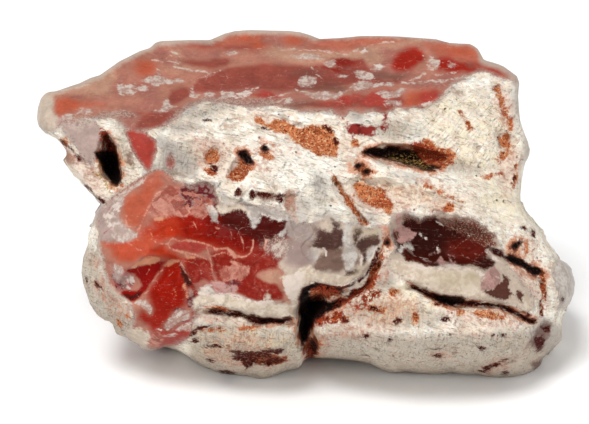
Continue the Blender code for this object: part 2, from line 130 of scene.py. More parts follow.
# The broken top face above these lines, and what swells and sinks the front.
frontShape = {
    "topEdge": [
        (30, 119), (85, 119), (100, 121), (120, 128), (140, 130), (150, 127), (165, 118), (175, 110),
        (190, 103), (205, 101), (225, 103), (250, 106), (290, 109), (330, 111), (345, 115), (375, 112),
        (400, 108), (425, 107), (437, 100), (450, 95), (460, 89), (470, 79), (480, 73), (495, 75), (515, 82),
        (580, 95)],
    "topRow": 30, "topDepth": -6.2, "topSlope": 0.228,
    "topWaves": {"size": (75, 15), "height": 0.5},
    "rounding": (18, 5),
    # swellings: middle, half sizes, turn in degrees clockwise, height in mm
    "swellings": [
        ((112, 232), (24, 50), 12, 1.2), ((196, 128), (34, 22), 20, 1.2), ((286, 178), (60, 15), 26, 1.4),
        ((150, 142), (18, 14), 0, 1), ((376, 130), (34, 12), 4, 1), ((470, 128), (30, 40), 12, 1.6),
        ((448, 186), (74, 12), 14, 1.3), ((296, 276), (20, 22), 0, 1.2), ((352, 240), (36, 30), -20, 0.8),
        ((446, 280), (70, 17), 8, 1.4), ((420, 338), (70, 34), 0, 1.5), ((510, 345), (38, 34), 0, 1.2),
        ((246, 344), (48, 22), 4, 1), ((562, 284), (18, 24), 0, 1.6), ((128, 312), (30, 22), 35, 1.2),
        ((420, 62), (60, 16), 4, 0.9), ((230, 62), (80, 14), -4, 0.8)],
    # hollows: middle, half sizes, turn, depth in mm, flatness of the floor (2 is a bowl)
    "hollows": [
        ((110, 160), (10, 27), -14, 6.5, 4), ((406, 157), (43, 10.5), 6, 4.2, 3),
        ((296, 134), (50, 12), 22, 1, 4), ((240, 165), (8, 18), 38, 1.2, 3),
        ((212, 156), (9, 10), 10, 1.2, 3), ((503, 140), (9, 10), 0, 1.4, 3),
        ((372, 192), (42, 15), 12, 1.2, 4), ((442, 242), (56, 24), 14, 1.8, 4),
        ((148, 280), (36, 20), -30, 2.4, 2), ((200, 262), (48, 26), 10, 1.4, 2),
        ((238, 214), (40, 14), 14, 1.2, 2), ((256, 357), (30, 10), -2, 2.2, 3)],
    # clefts: path, half width in pixels, depth in mm
    "clefts": [
        ([(316, 302), (304, 312), (304, 334), (309, 354)], 10, 8),
        ([(312, 302), (336, 296), (356, 289), (371, 276), (377, 264)], 6, 2),
        ([(410, 286), (430, 297), (452, 304), (474, 304), (500, 308), (532, 321)], 4.5, 2),
        ([(492, 252), (512, 260), (534, 270), (542, 290), (541, 316)], 4.5, 1.4),
        ([(206, 310), (234, 313), (256, 320), (290, 321)], 5, 1.6),
        ([(544, 324), (540, 344), (538, 362)], 8, 2.4),
        ([(474, 371), (490, 366), (512, 359)], 5, 2),
        ([(334, 180), (346, 198), (366, 224)], 5, 1.2),
        ([(497, 88), (506, 106), (510, 130)], 5, 0.5),
        ([(100, 204), (130, 184), (155, 171), (190, 185), (214, 190)], 6, 0.6)],
}


# Smooth noise from -1 to 1: hashed values at whole-number places, blended by s*s*(3 - 2s) between them.
def latticeNoise(places, seed):
    cell = np.floor(places)
    share = places - cell
    share = share * share * (3 - 2 * share)
    total = np.zeros(len(places))
    weights = np.array((127.1, 311.7, 74.7)[:places.shape[1]])
    for corner in np.ndindex(*(2,) * places.shape[1]):
        wave = np.sin((cell + corner) @ weights + 17.3 * seed) * 43758.5453
        total += np.prod(np.where(corner, share, 1 - share), axis=1) * (wave - np.floor(wave))
    return 2 * total - 1


# Cloud noise: octaves of lattice noise, each half the size and half the height of the one before.
def cloudNoise(places, seed, octaves=3):
    layers = [latticeNoise(places * 2 ** k + 7.7 * k, seed + k) / 2 ** k for k in range(octaves)]
    return sum(layers) / (2 - 2 ** (1 - octaves))


# 0 below low, 1 above high, and s*s*(3 - 2s) between.
def smoothStep(values, low, high):
    share = np.clip((values - low) / (high - low), 0, 1)
    return share * share * (3 - 2 * share)


# (right, up the drawing, to the viewer) turned into (right, back, up).
def toStoneAxes(drawn):
    across, upward, near = drawn.T
    cosTilt, sinTilt = math.cos(drawing["tilt"]), math.sin(drawing["tilt"])
    return np.column_stack([across, upward * sinTilt - near * cosTilt, upward * cosTilt + near * sinTilt])


# Cube skin to directions: tangents even out the spacing, then the angle a from the viewing line becomes
# a - frontShare * sin(a), and the ball is stretched to the stone's proportions.
def gridDirections(cube):
    even = np.tan(cube * math.pi / 4)
    even /= np.linalg.norm(even, axis=1, keepdims=True)
    angle = np.arccos(np.clip(even[:, 2], -1, 1))
    drawnIn = angle - form["frontShare"] * np.sin(angle)
    around = even[:, :2] / np.maximum(np.linalg.norm(even[:, :2], axis=1, keepdims=True), 1e-9)
    ball = np.column_stack([around * np.sin(drawnIn)[:, None], np.cos(drawnIn)])
    stretched = ball * np.array(form["proportions"], float)
    return stretched / np.linalg.norm(stretched, axis=1, keepdims=True)


# Reach of the rounded solid of the broad faces: 1 / reach is the p-norm of n.d / h over the faces.
def reach(directions):
    facing = toStoneAxes(directions)
    total = np.zeros(len(facing))
    for normal, distance in form["faces"]:
        outward = np.array(normal) / np.linalg.norm(normal)
        total += np.clip(facing @ outward / distance, 0, None) ** form["faceSharpness"]
    return total ** (-1 / form["faceSharpness"])


# For each angle round the drawing: the widest reach across the view, and the depth where it is.
def rimOfFaces(turns, steps=181):
    turn, drop = np.meshgrid(turns, np.linspace(0, math.pi, steps), indexing="ij")
    rays = np.stack([np.cos(turn) * np.sin(drop), np.sin(turn) * np.sin(drop), np.cos(drop)], axis=-1)
    distance = reach(rays.reshape(-1, 3)).reshape(turn.shape)
    across = distance * np.sin(drop)
    widest = across.argmax(axis=1)
    rows = np.arange(len(turns))
    return across[rows, widest], (distance * np.cos(drop))[rows, widest]


# Distance in mm from the heart to the drawn outline at each angle.
def outlineReach(turns):
    points = (np.array(form["outline"], float) - drawing["heart"]) * (1, -1) * pixel / millimetre
    sides = zip(points, np.roll(points, -1, axis=0))
    dense = np.concatenate([np.linspace(start, end, 8, endpoint=False) for start, end in sides])
    angles = np.arctan2(dense[:, 1], dense[:, 0])
    order = np.argsort(angles)
    return np.interp(turns, angles[order], np.linalg.norm(dense, axis=1)[order], period=2 * math.pi)


# Mean of a ring of values over its neighbours on each side.
def ringAverage(values, halfWidth):
    shifts = range(-halfWidth, halfWidth + 1)
    return sum(np.roll(values, shift) for shift in shifts) / len(shifts)


# Drawing pixels as shares of an oval's half sizes, on its own turned axes.
def ovalShares(pixels, middle, half, turn):
    offset = pixels - np.array(middle, float)
    angle = math.radians(turn)
    along = offset @ (math.cos(angle), math.sin(angle))
    across = offset @ (-math.sin(angle), math.cos(angle))
    return along / half[0], across / half[1]


# Distance in pixels to a line of straight stretches.
def pathDistance(pixels, path):
    nearest = np.full(len(pixels), np.inf)
    for start, end in zip(path[:-1], path[1:]):
        start, run = np.array(start, float), np.subtract(end, start).astype(float)
        share = np.clip((pixels - start) @ run / (run @ run), 0, 1)
        nearest = np.minimum(nearest, np.linalg.norm(pixels - start - share[:, None] * run, axis=1))
    return nearest


# Depth between the lines of the front: straight from each line to the next one down the drawing.
def linedDepth(across, down):
    shape = frontShape
    row = np.interp(across, *np.array(shape["topEdge"], float).T)
    depth = shape["topDepth"] + shape["topSlope"] * (row - shape["topRow"])
    result = depth + shape["topSlope"] * (down - row)
    for line in frontLines.values():
        columns, rows, depths = np.array(line, float).T
        nextRow = np.maximum(np.interp(across, columns, rows), row + 3)
        nextDepth = np.interp(across, columns, depths)
        share = (down - row) / (nextRow - row)
        result = np.where(share > 0, depth + (nextDepth - depth) * share, result)
        row, depth = nextRow, nextDepth
    return result


# Pixels moved about a little, so that no drawn edge is a clean curve.
def wander(pixels):
    size, amount = form["edgeWander"]
    return pixels + amount * np.column_stack([latticeNoise(pixels / size, seed) for seed in (1, 2)])


# Depth of the stone's front: the lines, plus swellings (1 - r*r/2)^2, less hollows (1 - r^f)^0.75 and
# clefts s*(2 - s), where r is an oval's share and s the share of a cleft's half width still to go.
def frontDepth(pixels):
    shape = frontShape
    pixels = wander(pixels)
    across, down = pixels.T
    steps = np.linspace(-1, 1, 5)
    depth = sum(linedDepth(across + i * shape["rounding"][0], down + j * shape["rounding"][1])
                for i in steps for j in steps) / len(steps) ** 2
    edgeRow = np.interp(across, *np.array(shape["topEdge"], float).T)
    onTop = np.clip((edgeRow - down) / 10, 0, 1)
    waves = shape["topWaves"]
    depth += waves["height"] * onTop * latticeNoise(pixels / waves["size"], 9)
    for middle, half, turn, height in shape["swellings"]:
        along, side = ovalShares(pixels, middle, half, turn)
        depth += height * np.clip(1 - (along ** 2 + side ** 2) / 2, 0, None) ** 2
    for middle, half, turn, sunk, flatness in shape["hollows"]:
        along, side = ovalShares(pixels, middle, half, turn)
        depth -= sunk * np.clip(1 - (along ** 2 + side ** 2) ** (flatness / 2), 0, None) ** 0.75
    for path, halfWidth, sunk in shape["clefts"]:
        share = np.clip(1 - pathDistance(pixels, path) / halfWidth, 0, None)
        depth -= sunk * share * (2 - share)
    return depth


# What the stone is made of, place by place, in pixels of the drawing: areas (a closed outline), ovals
# (middle, half sizes, turn) and veins (a path and its half width). "back" spreads a zone over what the
# drawing doesn't show: size of its patches in mm, and the noise level from which a patch begins.
# Waxy broken chalcedony; everything outside it is rind.
gemZone = {
    "back": (15, 0.1),
    "areas": [
        [(25, 85), (25, 128), (38, 131), (50, 132), (58, 127), (68, 121), (80, 118), (95, 119), (104, 119),
         (112, 118), (122, 124), (130, 131), (141, 132), (150, 130), (165, 126), (176, 120), (184, 113),
         (192, 106), (205, 102), (225, 104), (250, 108), (270, 106), (290, 110), (312, 113), (330, 111),
         (345, 118), (350, 112), (362, 114), (375, 112), (386, 114), (400, 108), (412, 109), (425, 108),
         (437, 100), (444, 96), (449, 90), (455, 84), (462, 79), (472, 75), (483, 71), (496, 76), (508, 79),
         (518, 84), (528, 70), (500, 35), (480, 25), (300, 12), (200, 18), (100, 55)],
        [(58, 119), (70, 119), (96, 121), (101, 131), (99, 146), (95, 158), (92, 167), (86, 162), (78, 152),
         (70, 140), (63, 130)],
        [(123, 129), (143, 130), (151, 134), (157, 141), (158, 151), (154, 161), (150, 171), (144, 171),
         (137, 161), (130, 148)],
        [(98, 207), (115, 195), (130, 183), (145, 175), (155, 169), (163, 170), (175, 178), (190, 185),
         (205, 180), (213, 185), (218, 195), (222, 207), (236, 203), (252, 203), (268, 205), (285, 212),
         (296, 222), (310, 222), (330, 217), (345, 224), (362, 226), (380, 228), (384, 242), (377, 258),
         (366, 271), (352, 282), (340, 288), (324, 284), (313, 283), (304, 288), (300, 300), (297, 318),
         (280, 319), (262, 318), (245, 315), (228, 309), (210, 304), (198, 308), (193, 322), (193, 335),
         (178, 345), (160, 350), (148, 350), (132, 342), (124, 331), (134, 318), (127, 302), (115, 298),
         (106, 288), (104, 272), (101, 258), (97, 246), (98, 232), (94, 222)],
        [(391, 215), (402, 211), (420, 219), (440, 212), (474, 219), (496, 235), (502, 250), (511, 270),
         (525, 284), (535, 302), (530, 314), (512, 306), (470, 299), (445, 297), (425, 290), (405, 280),
         (388, 268), (388, 255), (396, 248), (389, 238)],
        [(553, 262), (566, 260), (578, 272), (580, 292), (572, 306), (560, 307), (556, 290), (551, 275)]],
    "ovals": [((171, 163), (5, 8), 0)]}

# Colours of the gem in the order they are laid on: the colour as it looks on a screen, and the edge (its
# softness in pixels, how far it frays, and how solid the colour is inside it). The clear depths come first.
clearLayers = {}
clearLayers["shell"] = {
    "colour": (205, 186, 168), "edge": (2.5, 0.8, 1), "back": (9, 0.45),
    "areas": [
        [(386, 212), (402, 206), (420, 210), (440, 208), (470, 214), (496, 232), (504, 250), (514, 266),
         (530, 282), (541, 302), (534, 320), (512, 312), (470, 305), (445, 303), (425, 296), (402, 286),
         (382, 272), (384, 254), (392, 246), (385, 236)],
        [(286, 214), (330, 212), (345, 216), (364, 220), (386, 222), (392, 242), (384, 260), (370, 276),
         (355, 290), (340, 296), (324, 292), (298, 290), (286, 290), (284, 270), (276, 262), (288, 250),
         (292, 236)],
        [(190, 288), (215, 290), (240, 294), (262, 301), (290, 302), (300, 284), (304, 300), (300, 322),
         (262, 324), (228, 315), (205, 308), (190, 312)],
        [(34, 86), (50, 88), (57, 91), (54, 100), (54, 112), (60, 119), (60, 128), (50, 136), (34, 132)]],
    "ovals": [((566, 284), (20, 30), 0)],
    "veins": [
        ([(97, 206), (94, 222), (96, 246), (100, 262), (104, 276), (108, 290)], 4),
        ([(110, 292), (124, 302), (130, 318), (128, 335)], 5)]}
clearLayers["tan"] = {
    "colour": (196, 152, 126), "edge": (5, 0.6, 0.75), "back": (9, 0.35),
    "areas": [
        [(50, 94), (60, 90), (80, 82), (100, 74), (112, 70), (118, 78), (112, 86), (110, 94), (96, 97),
         (80, 93), (62, 95), (54, 100)],
        [(258, 48), (275, 46), (300, 48), (322, 51), (345, 52), (362, 47), (374, 43), (400, 40), (425, 41),
         (400, 46), (378, 49), (385, 60), (374, 66), (360, 64), (345, 60), (322, 63), (300, 63), (282, 60),
         (262, 54)]],
    "ovals": [
        ((190, 67), (16, 2.5), -4), ((176, 54), (5, 4), 0), ((272, 278), (11, 8), 0),
        ((280, 292), (9, 4), 40)]}
clearLayers["coral"] = {
    "colour": (190, 106, 84), "edge": (4, 0.6, 0.9), "back": (9, 0.3),
    "areas": [
        [(300, 51), (312, 44), (324, 40), (345, 38), (390, 36), (402, 40), (384, 44), (366, 45), (350, 50),
         (330, 50)],
        [(424, 45), (440, 42), (455, 45), (470, 46), (478, 56), (486, 63), (500, 67), (512, 74), (516, 83),
         (500, 78), (485, 71), (470, 70), (456, 62), (440, 56)],
        [(186, 42), (215, 41), (230, 38), (262, 34), (262, 46), (246, 50), (225, 48), (200, 50)]],
    "ovals": [((150, 178), (12, 7), -30), ((430, 98), (14, 6), -10)],
    "veins": [([(80, 104), (92, 104)], 4), ([(92, 104), (103, 105)], 2)]}
clearLayers["ember"] = {
    "colour": (190, 88, 60), "edge": (5, 0.5, 0.9), "back": (8, 0.5),
    "areas": [
        [(56, 99), (62, 97), (74, 99), (80, 103), (76, 112), (62, 114), (55, 114)],
        [(402, 101), (410, 93), (424, 89), (437, 90), (436, 100), (430, 106), (415, 107), (404, 106)],
        [(123, 206), (128, 197), (138, 191), (148, 184), (158, 178), (163, 184), (157, 192), (151, 202),
         (148, 212), (144, 222), (136, 228), (128, 224), (124, 214)],
        [(110, 246), (122, 244), (134, 240), (148, 240), (152, 247), (146, 254), (134, 258), (122, 262),
         (112, 256)]],
    "ovals": [
        ((145, 68), (11, 8), 0), ((294, 41), (9, 5), 0), ((248, 37), (11, 4), 0), ((258, 46), (9, 4), 0),
        ((508, 74), (7, 4), 20), ((460, 52), (14, 4), 4)]}
clearLayers["brick"] = {
    "colour": (152, 74, 62), "edge": (3, 0.7, 0.95), "back": (10, 0.1),
    "areas": [
        [(191, 92), (193, 84), (200, 78), (216, 71), (236, 67), (262, 64), (290, 65), (306, 67), (320, 68),
         (334, 72), (337, 60), (352, 58), (363, 60), (369, 68), (373, 76), (386, 80), (400, 79), (398, 84),
         (380, 87), (365, 84), (350, 84), (334, 88), (300, 90), (282, 92), (262, 91), (250, 88), (234, 90),
         (214, 92)],
        [(182, 62), (200, 60), (226, 58), (233, 62), (225, 67), (204, 68), (190, 66)],
        [(168, 99), (171, 90), (181, 86), (190, 88), (190, 96), (181, 102), (171, 106)],
        [(136, 125), (140, 118), (148, 113), (158, 111), (174, 112), (178, 117), (168, 124), (148, 129),
         (137, 129)],
        [(298, 104), (330, 101), (352, 97), (352, 92), (372, 96), (390, 98), (402, 96), (404, 103),
         (395, 109), (386, 116), (375, 112), (360, 106), (345, 108), (330, 109), (315, 108)],
        [(124, 130), (141, 130), (151, 139), (157, 149), (156, 161), (149, 170), (142, 168), (134, 158),
         (128, 146)]],
    "ovals": [
        ((133, 115), (10, 3), -4), ((202, 44), (14, 3), 0), ((62, 124), (5, 4), 30),
        ((178, 336), (10, 8), -20), ((165, 330), (12, 5), -20), ((171, 163), (6, 9), 0),
        ((465, 66), (16, 3), -4)],
    "veins": [([(226, 48), (250, 48)], 1.5)]}
clearLayers["red"] = {
    "colour": (164, 38, 24), "edge": (4, 0.8, 1), "back": (10, 0.35),
    "areas": [
        [(390, 63), (398, 54), (406, 48), (416, 46), (423, 50), (426, 58), (423, 62), (418, 66), (410, 71),
         (402, 73), (394, 70)],
        [(435, 62), (438, 56), (450, 57), (458, 62), (470, 66), (482, 68), (478, 71), (462, 72), (448, 73),
         (438, 70)],
        [(164, 266), (170, 262), (179, 262), (182, 270), (184, 280), (186, 292), (184, 304), (178, 308),
         (172, 312), (168, 319), (163, 326), (158, 331), (154, 335), (151, 330), (149, 325), (144, 322),
         (139, 318), (137, 312), (141, 309), (147, 313), (152, 316), (154, 309), (150, 300), (149, 293),
         (152, 287), (158, 278)]],
    "ovals": [((496, 70), (12, 2.4), 20)]}
clearLayers["deep"] = {
    "colour": (140, 34, 24), "edge": (2.5, 0.8, 1), "back": (8, 0.6),
    "areas": [
        [(184, 260), (192, 256), (207, 258), (212, 264), (214, 282), (205, 280), (196, 284), (190, 282),
         (186, 270)],
        [(210, 252), (226, 250), (236, 256), (244, 258), (252, 250), (262, 247), (278, 249), (282, 258),
         (276, 268), (264, 270), (256, 276), (264, 282), (276, 284), (284, 293), (283, 300), (256, 301),
         (246, 298), (236, 292), (230, 284), (218, 282), (212, 270)]],
    "ovals": [((343, 62), (13, 4.5), 4), ((332, 69), (12, 2.5), 10)],
    "veins": [([(190, 284), (196, 292), (190, 302)], 3)]}
clearLayers["vermilion"] = {
    "colour": (184, 50, 19), "edge": (7, 0.6, 1), "back": (8, 0.75),
    "areas": [
        [(151, 221), (158, 218), (168, 213), (185, 211), (200, 213), (222, 214), (240, 208), (256, 212),
         (275, 216), (291, 222), (292, 232), (280, 238), (270, 242), (262, 244), (256, 246), (252, 252),
         (246, 256), (238, 255), (230, 250), (222, 248), (206, 246), (196, 243), (180, 240), (168, 241),
         (158, 243), (152, 236)],
        [(140, 250), (150, 245), (165, 243), (168, 249), (176, 251), (182, 257), (186, 262), (176, 262),
         (166, 260), (158, 258), (148, 257)]],
    "ovals": [((152, 234), (12, 9), 0)]}
clearLayers["scarlet"] = {
    "colour": (153, 24, 8), "edge": (9, 0.6, 1), "back": (8, 0.65),
    "areas": [
        [(178, 206), (204, 206), (240, 204), (262, 210), (258, 232), (250, 252), (240, 256), (228, 248),
         (206, 245), (192, 241), (180, 238)],
        [(164, 264), (171, 260), (180, 261), (184, 272), (186, 284), (187, 298), (182, 308), (172, 311),
         (166, 314), (158, 312), (154, 303), (150, 292), (154, 282)]]}
clearLayers["flare"] = {
    "colour": (196, 84, 58), "edge": (4, 0.9, 1), "back": (8, 0.8),
    "areas": [
        [(102, 242), (113, 243), (130, 240), (141, 238), (150, 231), (154, 240), (160, 244), (152, 248),
         (146, 254), (140, 257), (134, 262), (128, 264), (121, 259), (115, 254), (111, 247)]]}
clearLayers["garnet"] = {
    "colour": (124, 16, 6), "edge": (8, 0.6, 1), "back": (9, 0.6),
    "areas": [
        [(200, 204), (222, 206), (240, 204), (258, 208), (276, 212), (292, 220), (292, 232), (280, 238),
         (268, 245), (256, 250), (246, 252), (234, 248), (220, 244), (206, 238)]]}
clearLayers["wine"] = {
    "colour": (78, 16, 10), "edge": (5, 0.7, 1), "back": (9, 0.45),
    "areas": [
        [(217, 206), (240, 202), (258, 208), (276, 210), (294, 218), (294, 232), (284, 240), (272, 243),
         (262, 246), (250, 238), (236, 231), (222, 227)]]}
clearLayers["blood"] = {
    "colour": (140, 14, 9), "edge": (1.8, 0.5, 1), "back": (8, 0.7),
    "areas": [
        [(123, 270), (130, 268), (138, 266), (147, 263), (157, 261), (165, 262), (160, 270), (155, 277),
         (150, 284), (146, 290), (141, 297), (133, 301), (126, 300), (120, 293), (124, 290), (131, 291),
         (137, 289), (141, 285), (139, 279), (134, 274)]],
    "veins": [([(189, 296), (190, 306), (194, 316)], 1.6)]}
clearLayers["port"] = {
    "colour": (66, 19, 12), "edge": (1.8, 0.8, 1), "back": (9, 0.5),
    "areas": [
        [(398, 228), (402, 224), (405, 218), (411, 215), (416, 212), (427, 215), (434, 214), (441, 222),
         (447, 224), (452, 224), (457, 220), (462, 219), (468, 222), (476, 218), (481, 221), (486, 229),
         (495, 233), (492, 240), (494, 245), (487, 249), (486, 256), (491, 260), (495, 262), (491, 268),
         (485, 271), (478, 268), (470, 265), (458, 265), (446, 263), (441, 267), (434, 266), (413, 262),
         (406, 260), (402, 254), (396, 251), (391, 246), (389, 241), (395, 238)],
        [(180, 263), (183, 267), (188, 276), (192, 285), (188, 288), (183, 281)],
        [(300, 250), (306, 246), (312, 243), (321, 243), (326, 247), (318, 248), (311, 247), (305, 251)]],
    "veins": [([(123, 296), (132, 297), (140, 292)], 1.5)]}
clearLayers["ruby"] = {
    "colour": (98, 24, 13), "edge": (6, 0.6, 0.95), "back": (8, 0.8),
    "ovals": [((468, 249), (22, 11), 0)]}
clearLayers["rose"] = {
    "colour": (172, 66, 56), "edge": (2.5, 0.8, 1), "back": (8, 0.6),
    "areas": [
        [(128, 131), (142, 131), (151, 135), (157, 142), (158, 150), (154, 160), (150, 170), (145, 170),
         (139, 160), (133, 148)],
        [(150, 348), (151, 336), (157, 332), (165, 330), (173, 332), (179, 329), (190, 330), (190, 336),
         (186, 343), (178, 347), (165, 346), (158, 350)],
        [(168, 246), (178, 241), (190, 241), (204, 244), (208, 248), (200, 253), (186, 252), (176, 250)]],
    "ovals": [
        ((380, 98), (16, 8), -14), ((345, 98), (9, 3), -6), ((266, 95), (12, 3), 8),
        ((428, 97), (12, 6), -10), ((346, 102), (16, 2), 0)]}
clearLayers["night"] = {
    "colour": (48, 14, 9), "edge": (6, 0.8, 0.85), "back": (8, 0.7),
    "ovals": [((426, 240), (20, 16), 0), ((394, 246), (3.5, 5), -20), ((485, 264), (7, 7), 0)]}
clearLayers["haze"] = {
    "colour": (112, 58, 44), "edge": (3, 2.2, 0.85), "back": (7, 0.6),
    "areas": [
        [(436, 214), (456, 217), (474, 217), (488, 226), (497, 236), (490, 244), (474, 240), (460, 233),
         (446, 228)],
        [(400, 214), (410, 210), (426, 212), (436, 214), (430, 219), (412, 220), (404, 222)],
        [(466, 222), (484, 226), (494, 238), (496, 250), (488, 250), (482, 240), (470, 232)]],
    "ovals": [((280, 243), (8, 3), 0)]}
clearLayers["dusk"] = {
    "colour": (112, 72, 62), "edge": (4, 0.9, 0.65), "back": (8, 0.4),
    "areas": [
        [(298, 89), (306, 86), (320, 80), (334, 82), (350, 86), (345, 91), (335, 93), (315, 92)],
        [(368, 73), (380, 70), (392, 74), (410, 75), (400, 80), (390, 81), (376, 80)]],
    "ovals": [((306, 73), (12, 4), 0), ((297, 105), (16, 4), -10)]}
clearLayers["mauve"] = {
    "colour": (158, 122, 114), "edge": (4, 0.9, 0.75), "back": (7, 0.3),
    "areas": [
        [(70, 124), (98, 114), (125, 110), (138, 116), (120, 118), (106, 117), (92, 126), (72, 130)],
        [(160, 128), (172, 116), (186, 106), (200, 98), (222, 97), (246, 100), (262, 104), (252, 108),
         (238, 106), (220, 102), (200, 104), (182, 114), (170, 126)],
        [(262, 246), (270, 239), (282, 238), (291, 244), (286, 259), (276, 259), (268, 252)]],
    "ovals": [((455, 94), (8, 3), 0), ((262, 102), (20, 3), 0), ((160, 80), (3, 2), 0)]}
clearLayers["dusty"] = {
    "colour": (180, 114, 96), "edge": (1.6, 0.9, 1), "back": (7, 0.2),
    "areas": [
        [(149, 211), (151, 203), (156, 196), (162, 190), (168, 185), (178, 186), (190, 190), (200, 195),
         (212, 198), (213, 207), (208, 212), (203, 220), (197, 216), (189, 214), (184, 218), (176, 215),
         (170, 215), (163, 218), (157, 221), (151, 217)],
        [(217, 272), (224, 267), (236, 265), (250, 266), (249, 274), (243, 280), (230, 281), (220, 279)],
        [(148, 346), (151, 336), (157, 332), (164, 333), (163, 342), (156, 350)]]}
clearLayers["lilac"] = {
    "colour": (182, 140, 132), "edge": (1.2, 0.7, 0.95), "back": (6, 0.6),
    "areas": [
        [(391, 230), (401, 225), (408, 229), (416, 233), (414, 238), (411, 242), (404, 243), (398, 243),
         (392, 238)],
        [(436, 259), (441, 255), (444, 260), (448, 263), (441, 266), (436, 265)],
        [(488, 270), (494, 267), (501, 272), (500, 280), (498, 288), (488, 291), (480, 290), (479, 282),
         (484, 276)],
        [(212, 281), (226, 284), (238, 286), (236, 294), (216, 293)],
        [(398, 212), (402, 216), (401, 225), (396, 226), (396, 218)]],
    "ovals": [((190, 296), (2, 5), 0), ((122, 274), (8, 4), 40)],
    "veins": [
        ([(449, 256), (453, 264)], 1), ([(454, 256), (455, 264)], 0.6), ([(430, 254), (440, 251)], 1.2)]}
clearLayers["plum"] = {
    "colour": (104, 34, 38), "edge": (1.2, 1.8, 1), "back": (7, 0.5),
    "areas": [
        [(182, 189), (188, 184), (196, 183), (202, 179), (207, 181), (214, 184), (219, 190), (220, 204),
         (215, 207), (211, 198), (200, 195), (190, 193)],
        [(112, 276), (122, 280), (134, 283), (128, 289), (118, 290)]],
    "ovals": [((184, 204), (9, 1.8), -8), ((193, 198), (9, 2), 4), ((192, 300), (4, 5), 0)],
    "veins": [
        ([(300, 250), (307, 256)], 1.6), ([(163, 328), (172, 326), (181, 322), (190, 319)], 1.1),
        ([(175, 310), (188, 309)], 0.7), ([(113, 270), (122, 278), (134, 287)], 0.6),
        ([(118, 268), (126, 275)], 0.5), ([(230, 282), (240, 284)], 1.6)]}
clearLayers["smoke"] = {
    "colour": (82, 55, 48), "edge": (2.6, 1.3, 1), "back": (8, 0.35),
    "areas": [
        [(311, 240), (317, 239), (316, 233), (314, 227), (319, 229), (323, 229), (327, 232), (332, 232),
         (333, 226), (331, 219), (333, 215), (338, 219), (344, 219), (340, 223), (339, 228), (344, 232),
         (345, 240), (344, 247), (338, 252), (328, 252), (322, 250), (314, 246)],
        [(355, 247), (361, 239), (366, 235), (377, 235), (381, 240), (377, 247), (371, 247), (368, 252),
         (367, 262), (362, 266), (361, 254)],
        [(352, 240), (355, 229), (362, 228), (364, 233), (358, 240), (355, 248)],
        [(346, 270), (356, 268), (360, 270), (354, 276), (346, 275)]]}
clearLayers["russet"] = {
    "colour": (82, 32, 22), "edge": (1.2, 0.9, 0.95), "back": (6, 0.6),
    "areas": [
        [(501, 273), (505, 273), (510, 279), (508, 286), (511, 292), (511, 299), (504, 300), (492, 298),
         (484, 298), (482, 292), (488, 290), (495, 288), (499, 284), (502, 279)],
        [(517, 290), (521, 291), (527, 298), (528, 303), (524, 305), (518, 300), (516, 295)]],
    "ovals": [((394, 236), (4, 5), 20)]}
clearLayers["ash"] = {
    "colour": (184, 160, 151), "edge": (3, 1, 1), "back": (7, 0.5),
    "areas": [
        [(56, 120), (70, 122), (95, 119), (108, 122), (106, 146), (101, 160), (95, 172), (84, 166),
         (70, 150), (58, 134)],
        [(97, 206), (112, 199), (122, 195), (123, 204), (118, 212), (120, 222), (128, 228), (136, 233),
         (132, 240), (114, 242), (98, 240), (95, 218)],
        [(110, 265), (118, 267), (126, 274), (132, 281), (126, 284), (116, 280)],
        [(284, 240), (300, 240), (312, 250), (312, 264), (298, 270), (284, 264)]]}
clearLayers["umber"] = {
    "colour": (112, 82, 71), "edge": (3.5, 1, 0.9), "back": (7, 0.45),
    "areas": [
        [(311, 271), (316, 260), (321, 254), (328, 251), (345, 246), (345, 268), (338, 272), (328, 272)],
        [(352, 248), (358, 250), (360, 262), (356, 268), (354, 258)]]}

# Pale layers near the gem's surface, laid over its clear depths.
paleLayers = {}
# Painted rim light: a pale line along the top of the outline, where the thin edge looks lit.
paleLayers["halo"] = {
    "colour": (206, 192, 176), "edge": (3.2, 0.4, 0.75), "back": (6, 0.8),
    "veins": [
        ([(52, 89), (60, 89), (80, 82), (100, 74), (107, 69), (120, 60), (130, 55), (140, 50), (150, 47),
          (157, 42), (190, 39), (212, 39)], 4.4),
        ([(218, 36), (226, 32), (236, 30), (290, 30), (305, 32), (318, 37)], 4.4),
        ([(318, 37), (340, 37), (360, 35), (400, 35.5), (435, 38), (452, 42), (470, 43), (477, 48),
          (484, 59)], 2.4),
        ([(484, 59), (500, 64), (510, 70), (518, 82), (519, 108)], 5)]}
paleLayers["opal"] = {
    "colour": (186, 174, 164), "edge": (1.8, 0.9, 0.95), "back": (7, 0.25),
    "areas": [
        [(242, 202), (252, 198), (264, 197), (278, 202), (288, 206), (292, 212), (288, 220), (280, 221),
         (270, 218), (262, 215), (258, 221), (254, 227), (251, 220), (246, 212)],
        [(286, 236), (300, 240), (312, 239), (310, 228), (318, 222), (300, 218), (288, 222)],
        [(344, 231), (350, 229), (351, 242), (357, 249), (359, 254), (355, 264), (354, 270), (347, 270),
         (344, 264), (343, 250)],
        [(305, 251), (312, 247), (320, 249), (318, 257), (313, 263), (308, 257)],
        [(368, 250), (377, 246), (372, 257), (367, 264)], [(342, 222), (354, 222), (350, 230)],
        [(204, 285), (210, 286), (214, 292), (215, 297), (202, 298)],
        [(398, 249), (404, 243), (411, 242), (413, 250), (409, 249), (405, 247), (400, 253)],
        [(206, 206), (212, 207), (219, 213), (218, 221), (212, 222), (208, 214)]],
    "ovals": [((566, 284), (16, 24), 0)],
    "veins": [([(282, 234), (290, 222), (292, 208)], 2.5)]}
paleLayers["pewter"] = {
    "colour": (150, 128, 120), "edge": (4, 1.2, 0.7), "back": (7, 0.5),
    "areas": [
        [(286, 222), (302, 220), (320, 222), (316, 232), (312, 246), (314, 262), (302, 268), (288, 262),
         (284, 244)]]}
